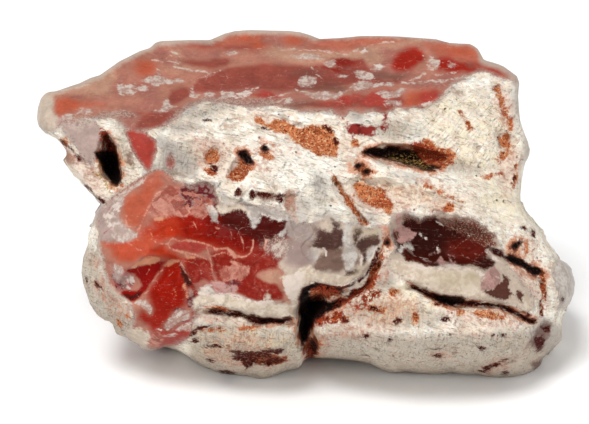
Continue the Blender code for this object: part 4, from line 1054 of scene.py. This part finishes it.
# The skin of the stone for points of a cube's skin. The solid of the broad faces is stretched within the
# drawing until its rim is the outline. Its front then takes the depth of the drawn front, times
# sqrt(1 - s^p) at a share s of the way to the rim, and noise roughens all of it.
def stoneSkin(cube):
    # rim of the broad faces, and how far it is stretched to the outline
    directions = gridDirections(cube)
    distance = reach(directions)
    turn = np.arctan2(directions[:, 1], directions[:, 0])
    turns = np.linspace(-math.pi, math.pi, form["turnSteps"], endpoint=False)
    rim, rimDepth = rimOfFaces(turns)
    stretch = outlineReach(turns) / rim
    halfTurn = form["broadStretchTurn"] * form["turnSteps"] // 720
    rings = (rim, rimDepth, stretch, ringAverage(stretch, halfTurn))
    rim, rimDepth, stretch, broadStretch = (np.interp(turn, turns, r, period=2 * math.pi) for r in rings)
    # places on the stretched solid, in mm and in pixels of the drawing
    across = distance * np.hypot(directions[:, 0], directions[:, 1])
    depth = distance * directions[:, 2]
    share = np.clip(across / rim, 0, 1)
    broadly = (broadStretch - 1) * smoothStep(share, 0, 1)
    across = across * (1 + broadly + (stretch - broadStretch) * share ** form["stretchPower"])
    drawn = np.column_stack([across * np.cos(turn), across * np.sin(turn)])
    rough = sum(height * latticeNoise(np.column_stack([drawn, depth]) / size, seed)
                for seed, (size, height) in enumerate(form["roughness"], start=3))
    pixels = drawn * (1, -1) * millimetre / pixel + drawing["heart"]
    # the front takes the drawn depth, the back is roughened outwards
    inFront = depth > rimDepth
    upper = np.clip(1.5 * np.sin(turn), 0, 1)
    edgePower = form["bottomEdgePower"] + (form["topEdgePower"] - form["bottomEdgePower"]) * upper
    inner = np.sqrt(1 - share ** edgePower)
    behind = rimDepth - depth
    depth = np.where(inFront, depth + (frontDepth(pixels) + rough - depth) * inner, depth)
    outward = 1 + np.where(inFront, 0, form["backRoughness"] * rough * inner / distance)
    drawn, depth = drawn * outward[:, None], depth * outward
    # the zones, and the fine relief that they bring
    plain = np.column_stack([drawn, depth])
    found = findZones(pixels, plain, behind)
    fine, found["crags"] = fineRelief(plain, found)
    fine = np.where(inFront, fine * inner, fine * smoothStep(behind, 0, 4) / distance)
    depth = depth + np.where(inFront, fine, fine * depth)
    drawn = drawn + np.where(inFront, 0, fine)[:, None] * drawn
    middle = broadMiddle(plain)
    return toStone(np.column_stack([drawn, depth]), middle), found, middle


# From the drawing's millimetres to the stone's metres: nearer things are drawn larger, so they are made
# smaller by 1 - depth / eyeDistance about the viewing line.
def toStone(drawnDepth, middle):
    depth = drawnDepth[:, 2] * millimetre
    toMiddle = np.subtract(drawing["heart"], drawing["middle"]) * (1, -1) * pixel
    onPaper = drawnDepth[:, :2] * millimetre + toMiddle
    nearer = (1 - depth / drawing["eyeDistance"])[:, None]
    points = toStoneAxes(np.column_stack([onPaper * nearer - toMiddle, depth]))
    return points + (-middle[0], -middle[1], drawing["heartHeight"])


# Middle of the stone's box seen from above, which is the origin of the frame.
def broadMiddle(plain):
    points = toStone(plain, (0, 0))
    return (points.min(axis=0) + points.max(axis=0))[:2] / 2


# Grid over a cube's skin: each face's squares, with the corners that faces share joined into one.
def cubeGrid(cuts):
    row, column = np.meshgrid(np.arange(cuts + 1), np.arange(cuts + 1), indexing="ij")
    corners, quads = [], []
    for axis in range(3):
        for side in (0, cuts):
            place = np.empty((cuts + 1, cuts + 1, 3), int)
            place[..., axis] = side
            first, second = (axis + 1) % 3, (axis + 2) % 3
            place[..., first if side else second] = row
            place[..., second if side else first] = column
            index = np.arange(place[..., 0].size).reshape(row.shape) + len(corners) * row.size
            square = np.stack([index[:-1, :-1], index[1:, :-1], index[1:, 1:], index[:-1, 1:]], axis=-1)
            quads.append(square.reshape(-1, 4))
            corners.append(place.reshape(-1, 3))
    joined, back = np.unique(np.concatenate(corners), axis=0, return_inverse=True)
    return joined * 2 / cuts - 1, back.ravel()[np.concatenate(quads)]


# A mesh object from arrays of points and quads, smooth, with one float attribute for each zone.
def makeSurface(name, points, quads, fields):
    mesh = bpy.data.meshes.new(name)
    mesh.vertices.add(len(points))
    mesh.vertices.foreach_set("co", points.astype(np.float32).ravel())
    mesh.loops.add(quads.size)
    mesh.loops.foreach_set("vertex_index", quads.astype(np.int32).ravel())
    mesh.polygons.add(len(quads))
    mesh.polygons.foreach_set("loop_start", np.arange(0, quads.size, 4, dtype=np.int32))
    mesh.update(calc_edges=True)
    mesh.shade_smooth()
    for fieldName, values in fields.items():
        field = mesh.attributes.new(fieldName, "FLOAT", "POINT")
        field.data.foreach_set("value", values.astype(np.float32))
    made = bpy.data.objects.new(name, mesh)
    bpy.context.scene.collection.objects.link(made)
    return made


# One socket of a material; arithmetic on it adds Math nodes, and node() adds any other kind.
class Shade:
    def __init__(self, tree, socket=None):
        self.tree = tree
        self.socket = socket

    def node(self, kind, settings, inputs, output=0):
        made = self.tree.nodes.new(kind)
        for name, value in settings.items():
            setattr(made, name, value)
        for key, value in inputs.items():
            if isinstance(value, Shade):
                self.tree.links.new(value.socket, made.inputs[key])
            else:
                made.inputs[key].default_value = value
        return Shade(self.tree, made.outputs[output]) if made.outputs else None

    def math(self, operation, *values):
        return self.node("ShaderNodeMath", {"operation": operation}, dict(enumerate(values)))

    def __add__(self, other):
        return self.math("ADD", self, other)

    def __radd__(self, other):
        return self.math("ADD", other, self)

    def __sub__(self, other):
        return self.math("SUBTRACT", self, other)

    def __rsub__(self, other):
        return self.math("SUBTRACT", other, self)

    def __mul__(self, other):
        return self.math("MULTIPLY", self, other)

    def __rmul__(self, other):
        return self.math("MULTIPLY", other, self)

    def __abs__(self):
        return self.math("ABSOLUTE", self)

    def step(self, low, high):
        settings = {"interpolation_type": "SMOOTHSTEP", "clamp": True}
        return self.node("ShaderNodeMapRange", settings, {"Value": self, "From Min": low, "From Max": high})

    def blend(self, first, second):
        return self.node("ShaderNodeMix", {"data_type": "RGBA"}, {0: self, 6: first, 7: second}, 2)


# A colour given as it looks on a screen, from 0 to 255, in the linear values that shaders use, for a surface
# that gets so much light.
def screenColour(tone, light):
    linear = [((c / 255 + 0.055) / 1.055) ** 2.4 if c > 10 else c / 255 / 12.92 for c in tone]
    return (*(value / light for value in linear), 1)


# Other colours of the stone as they look in soft light.
colours = {
    "salmon": (186, 126, 106), "salmonPale": (204, 140, 122), "brickPale": (164, 86, 72),
    "pink": (174, 112, 98), "seam": (226, 190, 172), "mist": (226, 220, 212), "ivory": (242, 228, 208),
    "chalk": (255, 252, 240), "dust": (208, 190, 171), "blush": (224, 166, 148), "veil": (176, 160, 152),
    "shadow": (116, 92, 88), "rustPale": (208, 126, 80), "rustDeep": (84, 26, 15), "rustDark": (116, 44, 24),
    "sand": (226, 180, 136), "honey": (240, 222, 182), "pearl": (226, 212, 200), "speck": (84, 52, 38),
    "hairline": (142, 114, 94)}

# The finish of each surface: how strongly the studio lights it, its roughness and how much that varies, its
# shine, how it bends light, its bump (strength, and height in metres), and the light that travels inside.
gemFinish = {
    "light": 1.40, "roughness": (0.36, 0.25), "shine": 0.03, "bending": 1.54, "bump": (0.5, 0.0004),
    "glow": {"Weight": 0.06, "Radius": (1.0, 0.5, 0.4), "Scale": 0.0008}}
rindFinish = {
    "light": 1.10, "roughness": (0.85, 0.2), "shine": 0.10, "bending": 1.5, "bump": (1.0, 0.0004),
    "glow": {}}
gemLight, rindLight = gemFinish["light"], rindFinish["light"]
gemTone = {name: screenColour(value, gemLight) for name, value in colours.items()}
rindTone = {name: screenColour(value, rindLight) for name, value in colours.items()}

# Noises that all colours share (size in mm, detail, and how far it is moved), and by how many pixels of the
# drawing three of them fray the edges of the zones.
stoneNoises = {
    "broad": (7.0, 2.0, 0.0), "middling": (1.8, 3.0, 0.3), "fine": (0.6, 4.0, 0.7), "dust": (0.25, 3.0, 1.1)}
fraying = {"middling": 9, "fine": 6, "dust": 3}


# Noise of a given size in mm on Object coordinates, about 0.5.
def shadeNoise(place, size, detail=3.0, offset=0.0):
    moved = place.node("ShaderNodeVectorMath", {"operation": "ADD"}, {0: place, 1: [offset] * 3})
    inputs = {"Vector": moved, "Scale": 1 / (size * millimetre), "Detail": detail, "Roughness": 0.6}
    return place.node("ShaderNodeTexNoise", {}, inputs)


# Long noise: stretched by the three sizes in mm along axes of the drawing turned by an angle in degrees.
def longNoise(place, turn, sizes, detail=2.0):
    upright = Matrix.Rotation(math.pi / 2 - drawing["tilt"], 3, "X")
    turned = (upright @ Matrix.Rotation(math.radians(turn), 3, "Z")).to_euler()
    stretched = place.node("ShaderNodeMapping", {"vector_type": "TEXTURE"}, {
        "Vector": place, "Rotation": turned, "Scale": [size * millimetre for size in sizes]})
    inputs = {"Vector": stretched, "Scale": 1, "Detail": detail, "Distortion": 0.3}
    return place.node("ShaderNodeTexNoise", {}, inputs)


# 1 on a thin line wherever a noise passes its middle value, 0 beside it.
def linesOf(noise, width):
    return 1 - abs(noise - 0.5).step(0, width)


# Cells of a given size in mm: either the distance to a cell's middle or its edge, or its own random colour.
def cells(place, size, feature="F1", output="Distance"):
    inputs = {"Vector": place, "Scale": 1 / (size * millimetre)}
    return place.node("ShaderNodeTexVoronoi", {"feature": feature}, inputs, output)


# One random grey for each cell of a given size in mm.
def cellGreys(place, size):
    colour = cells(place, size, "F1", "Color")
    return colour.node("ShaderNodeSeparateColor", {}, {"Color": colour}, 0)


# The shared noises by name, the place that they lie on, and "edge", their sum that frays the zones.
def makeNoises(place):
    noises = {name: shadeNoise(place, *values) for name, values in stoneNoises.items()}
    middling, fine, dust = ((noises[name] - 0.5) * amount for name, amount in fraying.items())
    return {**noises, "place": place, "edge": middling + fine + dust}


# What the mesh says of a zone: how far inside it a place lies, in pixels of the drawing.
def zoneField(noises, name):
    return noises["place"].node("ShaderNodeAttribute", {"attribute_name": name}, {}, "Fac")


# A zone's share: width is the softness of its edge in pixels of the drawing, ragged how much it frays.
def zoneShare(noises, name, width, ragged=1.0, shift=0.0):
    return (zoneField(noises, name) + noises["edge"] * ragged + shift).step(-width, width)


# Coats laid over a colour one after another: each has its share and the name of its tone.
def coated(colour, tone, coats):
    for share, name in coats:
        colour = share.blend(colour, tone[name])
    return colour


# Layers laid over a colour, each in its own zone, where its patches are, in its own mix of colours.
def layered(noises, colour, layers, light, patches, mixes):
    for name, layer in layers.items():
        softness, fray, strength = layer["edge"]
        share = zoneShare(noises, name, softness, fray) * strength * patches.get(name, 1.0)
        colour = share.blend(colour, mixes.get(name, screenColour(layer["colour"], light)))
    return colour


# The broken inside of the gem, on places that a swirl moves: facets, grains, cracks, streaks and flaws.
def gemPattern(noises):
    place, broad, fine = noises["place"], noises["broad"], noises["fine"]
    inputs = {"Vector": place, "Scale": 1 / (2.5 * millimetre), "Detail": 2.0}
    swirl = place.node("ShaderNodeTexNoise", {}, inputs, "Color")
    swirled = place.node("ShaderNodeMix", {"data_type": "VECTOR"}, {0: 0.0016, 4: place, 5: swirl}, 1)
    crack = 1 - cells(swirled, 4.6, "DISTANCE_TO_EDGE").step(0.004, 0.022)
    return {
        "swirled": swirled,
        "facet": cellGreys(swirled, 3.0),
        "grains": cellGreys(swirled, 1.5) * 0.6 + (fine - 0.5),
        "crack": crack * broad.step(0.50, 0.58) * fine.step(0.42, 0.58),
        "streak": longNoise(place, -3, (12, 1.4, 5), 4.0),
        "flaw": linesOf(longNoise(place, -4, (9, 1.2, 3), 3.0), 0.010) * fine.step(0.42, 0.6)}


# Where gem meets rind: the brink, and the pale and dark grains along it and in the mauve zone.
def brinkPattern(noises):
    brink = 1 - abs(zoneField(noises, "gem") + noises["edge"] * 0.7).step(0, 5)
    rough = brink + zoneShare(noises, "mauve", 3, 1.2) * (1 - brink) * 0.8
    grains = noises["fine"] * 0.4 + noises["dust"] * 0.6
    return brink, grains.step(0.47, 0.56) * rough, grains.step(0.47, 0.40) * rough


# The clear depths of the gem: salmon and pink under the clear layers, four of them in mixes of their own;
# the plum and lilac mixes carry painted light and shade.
def clearColours(noises, pattern):
    lilac, plum, deep = (clearLayers[name]["colour"] for name in ("lilac", "plum", "deep"))
    # Pale centres and dark rims on each small cell of the plum: painted light and shade on rounded grains.
    paintedBerryShading = cells(pattern["swirled"], 0.8).step(0.30, 0.60)
    smoky = (noises["middling"] * 0.6 + noises["fine"] * 0.4).step(0.48, 0.60) * 0.25
    mixes = {
        "plum": paintedBerryShading.blend(screenColour(lilac, gemLight * 1.6), screenColour(plum, gemLight)),
        "dusty": pattern["grains"].step(0.0, 0.6).blend(gemTone["brickPale"], gemTone["salmonPale"]),
        # Lilac as a lighter and a darker copy, laid by grains: painted light and shade on the shards.
        "lilac": pattern["grains"].step(0.1, 0.5).blend(
            screenColour(lilac, gemLight * 1.25), screenColour(lilac, gemLight * 0.85)),
        "deep": smoky.blend(screenColour(deep, gemLight), gemTone["brickPale"])}
    colour = noises["broad"].step(0.38, 0.62).blend(gemTone["salmon"], gemTone["pink"])
    return layered(noises, colour, clearLayers, gemLight, {}, mixes)


# The gem: clear depths made lighter and darker by streaks and facets, the facets partly as painted light on
# the chips, pale layers, some clouded or chipped, then cracks, specks and haze, and dust and shadow where it
# meets the rind.
def gemColours(noises, pattern, brinks):
    middling, fine, dust = noises["middling"], noises["fine"], noises["dust"]
    brink, frayed, shaded = brinks
    mottle = (fine - 0.5) * 0.5 + (middling - 0.5) * 0.5
    # The facet term is partly painted light: each chipped facet lighter or darker as if lit from its own
    # side.
    value = 0.76 + pattern["streak"] * 0.36 + pattern["facet"] * 0.14 - pattern["crack"] * 0.1 + mottle
    inputs = {"Color": clearColours(noises, pattern), "Value": value}
    colour = value.node("ShaderNodeHueSaturation", {}, inputs)

    chipped = 0.65 + (fine * 0.5 + middling * 0.3 + dust * 0.2).step(0.44, 0.54) * 0.35
    clouded = (middling * 0.5 + fine * 0.5).step(0.44, 0.60) * 0.75
    celled = clouded * 0.6 + pattern["grains"].step(0.15, 0.50) * 0.4
    clouds = {"cream": (celled, "ivory"), "opal": (clouded, "mist"), "milk": (clouded, "pearl")}
    mixes = {name: share.blend(screenColour(paleLayers[name]["colour"], gemLight), gemTone[other])
             for name, (share, other) in clouds.items()}
    colour = layered(noises, colour, paleLayers, gemLight, {"milk": chipped, "frost": chipped}, mixes)

    specks = dust.step(0.60, 0.70) * fine.step(0.48, 0.6)
    return coated(colour, gemTone, [
        (pattern["crack"] * 0.28, "seam"),
        (pattern["flaw"] * 0.2, "seam"),
        (specks * middling.step(0.48, 0.60) * 0.5, "seam"),
        (dust.step(0.52, 0.62) * zoneShare(noises, "haze", 4) * 0.45, "dust"),
        (brink * 0.35, "veil"),
        (frayed * 0.65, "dust"),
        (shaded * 0.55, "shadow")])


# Marks of the rind: hairlines that slant, lie level or stand upright, flecks, bumps, pits, dots and grit.
def rindPattern(noises):
    place, middling, fine = noises["place"], noises["middling"], noises["fine"]
    slanting = linesOf(longNoise(place, 48, (9, 0.7, 3)), 0.02)
    level = linesOf(longNoise(place, -14, (7, 0.8, 3)), 0.02)
    # Upright hairlines and the dots lie only where the painted shade is, low down.
    upright = linesOf(longNoise(place, 82, (6, 0.8, 3)), 0.02) * zoneShare(noises, "paintedShade", 8)
    leaning = zoneShare(noises, "slanted", 8)
    pits = 1 - cells(place, 1.5).step(0.08, 0.16)
    dots = 1 - cells(place, 0.8).step(0.12, 0.24)
    height = place.node("ShaderNodeSeparateXYZ", {}, {0: place}, 2)
    return {
        "leaning": leaning,
        "hair": (leaning * slanting + (1 - leaning) * level) * fine.step(0.42, 0.60) + upright * 0.7,
        "flecks": longNoise(place, -20, (1.4, 0.35, 0.6), 3.0),
        "bumps": shadeNoise(place, 3.0, 3.0, 2.9),
        "pits": pits * middling.step(0.50, 0.60),
        "dots": dots * zoneShare(noises, "paintedShade", 6) * middling.step(0.46, 0.54),
        "grain": shadeNoise(place, 0.42, 2.0, 1.7),
        "grit": shadeNoise(place, 0.36, 2.0, 2.3),
        "lowDown": height.step(0.016, 0.006)}


# Rust: orange and paler by turns, darker low down, with dark grains under it and sandy grit on it.
def rustColours(noises, marks):
    orange = screenColour(rindLayers["rust"]["colour"], rindLight)
    rusty = noises["broad"].step(0.42, 0.56).blend(orange, rindTone["rustPale"])
    rusty = (marks["lowDown"] * 0.6).blend(rusty, rindTone["rustDeep"])
    grains = (marks["grain"] * 0.4 + noises["dust"] * 0.6).step(0.41, 0.51)
    sandy = marks["grit"].step(0.54, 0.64) * (1 - marks["lowDown"] * 0.5)
    return sandy.blend(grains.blend(rindTone["rustDark"], rusty), rindTone["sand"])


# The rind: ivory on its crags and dust colour painted as shade in its folds, then chalk, painted shade low
# down, tints and marks with a painted highlight on its upward-facing crests, a veil where it meets the gem,
# rust round the hollows, its layers, and rust sprinkled over its stains.
def rindColours(noises, marks, brinks):
    broad, middling, fine = noises["broad"], noises["middling"], noises["fine"]
    brink, _, shaded = brinks
    flecks, bumps = marks["flecks"], marks["bumps"]
    # 1 on the crags, 0 in the folds, where the dust colour is painted shade.
    outsideFoldShade = (zoneField(noises, "crags") + (fine - 0.5) * 1.2 + (middling - 0.5) * 0.6).step(-0.7, 0.1)
    chalky = (middling * 0.5 + fine * 0.5).step(0.44, 0.54)
    colour = chalky.blend(outsideFoldShade.blend(rindTone["dust"], rindTone["ivory"]), rindTone["chalk"])
    # Painted shade laid over the ground colour.
    colour = layered(noises, colour, paintedShadeLayers, rindLight, {}, {})

    nearHollow = zoneShare(noises, "nearBlack", 2.5, 1.3, 5.0) * middling.step(0.38, 0.50)
    colour = coated(colour, rindTone, [
        (zoneShare(noises, "honey", 8) * middling.step(0.40, 0.60) * 0.6, "honey"),
        (bumps.step(0.50, 0.64) * 0.45, "dust"),
        # painted highlight on the upward-facing crests
        (zoneShare(noises, "paintedCrestLight", 8) * 0.6, "chalk"),
        (flecks.step(0.44, 0.37) * bumps.step(0.42, 0.52) * 0.5, "hairline"),
        (flecks.step(0.58, 0.66) * broad.step(0.42, 0.56) * 0.6, "blush"),
        (marks["hair"] * (marks["leaning"] * 0.35 + 0.4), "hairline"),
        (marks["pits"] * 0.8, "speck"),
        (marks["dots"] * 0.6, "rustDeep"),
        (brink * middling.step(0.42, 0.56) * 0.7, "veil"),
        (shaded * 0.7, "shadow"),
        (nearHollow * 0.8, "rustPale")])

    blotches = (fine * 0.6 + middling * 0.4).step(0.38, 0.60)
    mixes = {"rust": rustColours(noises, marks)}
    colour = layered(noises, colour, rindLayers, rindLight, {"stain": blotches}, mixes)
    sprinkled = marks["grit"].step(0.60, 0.68) * zoneShare(noises, "stain", 4, 1.4)
    return (sprinkled * (marks["lowDown"] * 0.5 + 0.3)).blend(colour, rindTone["rustDeep"])


# The dark clefts: a rusty rim round each hollow, the patches of each layer, and grains in the scorched one,
# whose colour is painted lighter as light in the shaded hollows.
def cleftPattern(noises, marks):
    grain, grit = marks["grain"], marks["grit"]
    rim = zoneShare(noises, "nearBlack", 1.2, 0.9, 1.8) * 0.85
    patches = {
        "umberLines": 1 - grit.step(0.54, 0.64) * 0.5,
        "nearBlack": 1 - grit.step(0.55, 0.65) * 0.35,
        "scorchWithPaintedLight": (grain * 0.6 + noises["fine"] * 0.4).step(0.40, 0.50),
        "olive": grain.step(0.50, 0.58)}
    scorchGrainsWithPaintedLight = (grain * 0.4 + noises["dust"] * 0.6).step(0.44, 0.54).blend(
        rindTone["rustDeep"], screenColour(cleftLayers["scorchWithPaintedLight"]["colour"], rindLight))
    return rim, patches, {"scorchWithPaintedLight": scorchGrainsWithPaintedLight}


# Either surface with the dark clefts laid over it.
def withClefts(noises, colour, clefts, tone, light):
    rim, patches, mixes = clefts
    return layered(noises, rim.blend(colour, tone["rustDeep"]), cleftLayers, light, patches, mixes)


# A surface of one finish: a height between 0 and 1 bumps it, and fine noise varies its roughness.
def surface(noises, colour, height, finish):
    strength, distance = finish["bump"]
    roughness, uneven = finish["roughness"]
    bumped = height.node("ShaderNodeBump", {}, {
        "Strength": strength, "Distance": distance, "Height": height})
    return colour.node("ShaderNodeBsdfPrincipled", {}, {
        "Base Color": colour, "Normal": bumped, "Roughness": (noises["fine"] - 0.5) * uneven + roughness,
        "IOR": finish["bending"], "Specular IOR Level": finish["shine"],
        **{"Subsurface " + name: value for name, value in finish["glow"].items()}})


# The stone's material: waxy gem and chalky rind, each with its own colours, mixed where the gem's zone says.
def makeStoneMaterial():
    material = bpy.data.materials.new("chalcedonyStone")
    material.use_nodes = True
    tree = material.node_tree
    tree.nodes.clear()
    place = Shade(tree).node("ShaderNodeTexCoord", {}, {}, "Object")
    noises = makeNoises(place)
    pattern, marks, brinks = gemPattern(noises), rindPattern(noises), brinkPattern(noises)
    clefts = cleftPattern(noises, marks)

    colour = withClefts(noises, gemColours(noises, pattern, brinks), clefts, gemTone, gemLight)
    height = noises["middling"] * 0.5 + noises["fine"] * 0.3 + pattern["facet"] * 0.2
    gem = surface(noises, colour, height, gemFinish)

    colour = withClefts(noises, rindColours(noises, marks, brinks), clefts, rindTone, rindLight)
    hollow = zoneShare(noises, "nearBlack", *cleftLayers["nearBlack"]["edge"][:2])
    height = noises["middling"] * 0.8 + noises["fine"] * 0.9 + noises["dust"] * 0.6
    height = height - marks["pits"] * 0.6 - marks["hair"] * 0.4 - hollow * 0.8
    rind = surface(noises, colour, height, rindFinish)

    gemShare = zoneShare(noises, "gem", 0.8, 0.55)
    both = place.node("ShaderNodeMixShader", {}, {0: gemShare, 1: rind, 2: gem})
    place.node("ShaderNodeOutputMaterial", {}, {"Surface": both})
    print("material:", len(tree.nodes), "nodes")
    return material


# The one piece of the object. It rides on the stone's own body, replaces the CAD solid and stands on z = 0.
def makeStone():
    cube, quads = cubeGrid(form["gridCuts"])
    points, found, middle = stoneSkin(cube)
    points[:, 2] = np.maximum(points[:, 2], 0)
    stone = makeSurface("stone", points, quads, found)
    stone.data.materials.append(makeStoneMaterial())
    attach(stone, "root")
    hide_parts("chalcedony")
    print("stone:", len(quads) * 2, "triangles")
    return middle


# Lights: a wide soft one above and a little in front, a weaker fill from each side, and a pale world.
studio = {
    # place in metres, width across in metres, power in watts
    "lamps": [((-0.5, -0.9, 2.0), 0.8, 32.0), ((1.5, -1.3, 0.9), 0.8, 9.0), ((-1.6, -1.2, 0.8), 0.8, 8.0)],
    "aim": (0, 0, 0.025),
    "world": 0.56,
    "floor": (0.95, 0.95, 0.95),
    "floorRoughness": 0.9,
    "floorSize": 6.0,
}


# Floor: a level square of pale paper about the origin.
def makeFloor():
    half = studio["floorSize"] / 2
    corners = [(-half, -half, 0), (half, -half, 0), (half, half, 0), (-half, half, 0)]
    mesh = bpy.data.meshes.new("floor")
    mesh.from_pydata(corners, [], [(0, 1, 2, 3)])
    floor = bpy.data.objects.new("floor", mesh)
    bpy.context.scene.collection.objects.link(floor)
    material = bpy.data.materials.new("palePaper")
    material.use_nodes = True
    paper = material.node_tree.nodes["Principled BSDF"]
    paper.inputs["Base Color"].default_value = (*studio["floor"], 1)
    paper.inputs["Roughness"].default_value = studio["floorRoughness"]
    mesh.materials.append(material)
    print("floor:", studio["floorSize"], "m across")


# World and lamps: each lamp is a disk that faces the stone.
def makeLights():
    world = bpy.data.worlds.new("studio")
    world.use_nodes = True
    background = world.node_tree.nodes["Background"]
    background.inputs["Color"].default_value = (1, 1, 1, 1)
    background.inputs["Strength"].default_value = studio["world"]
    bpy.context.scene.world = world
    for number, (where, size, power) in enumerate(studio["lamps"], start=1):
        lamp = bpy.data.lights.new(f"lamp{number}", "AREA")
        lamp.shape = "DISK"
        lamp.size = size
        lamp.energy = power
        held = bpy.data.objects.new(lamp.name, lamp)
        held.location = where
        held.rotation_euler = (Vector(studio["aim"]) - Vector(where)).to_track_quat("-Z", "Y").to_euler()
        bpy.context.scene.collection.objects.link(held)
    print("lights:", len(studio["lamps"]))


# The eye looks along the viewing line, through the middle of the drawing, with the drawing's width filling
# the picture at the heart's depth.
def makeCamera(middle):
    lens = bpy.data.cameras.new("eye")
    lens.sensor_width = 36
    lens.lens = lens.sensor_width * drawing["eyeDistance"] / (drawing["imageWidth"] * pixel)
    lens.clip_start = 0.01
    eye = bpy.data.objects.new("eye", lens)
    tilt = drawing["tilt"]
    towards = Vector((0, -math.cos(tilt), math.sin(tilt)))
    upward = Vector((0, math.sin(tilt), math.cos(tilt)))
    aside, down = np.subtract(drawing["middle"], drawing["heart"]) * pixel
    heart = Vector((-middle[0], -middle[1], drawing["heartHeight"]))
    eye.location = heart + Vector((aside, 0, 0)) - upward * down + towards * drawing["eyeDistance"]
    eye.rotation_euler = (-towards).to_track_quat("-Z", "Y").to_euler()
    bpy.context.scene.collection.objects.link(eye)
    bpy.context.scene.camera = eye
    bpy.context.scene.view_settings.view_transform = "Standard"
    print("camera:", round(lens.lens, 1), "mm")


middle = makeStone()
makeFloor()
makeLights()
makeCamera(middle)
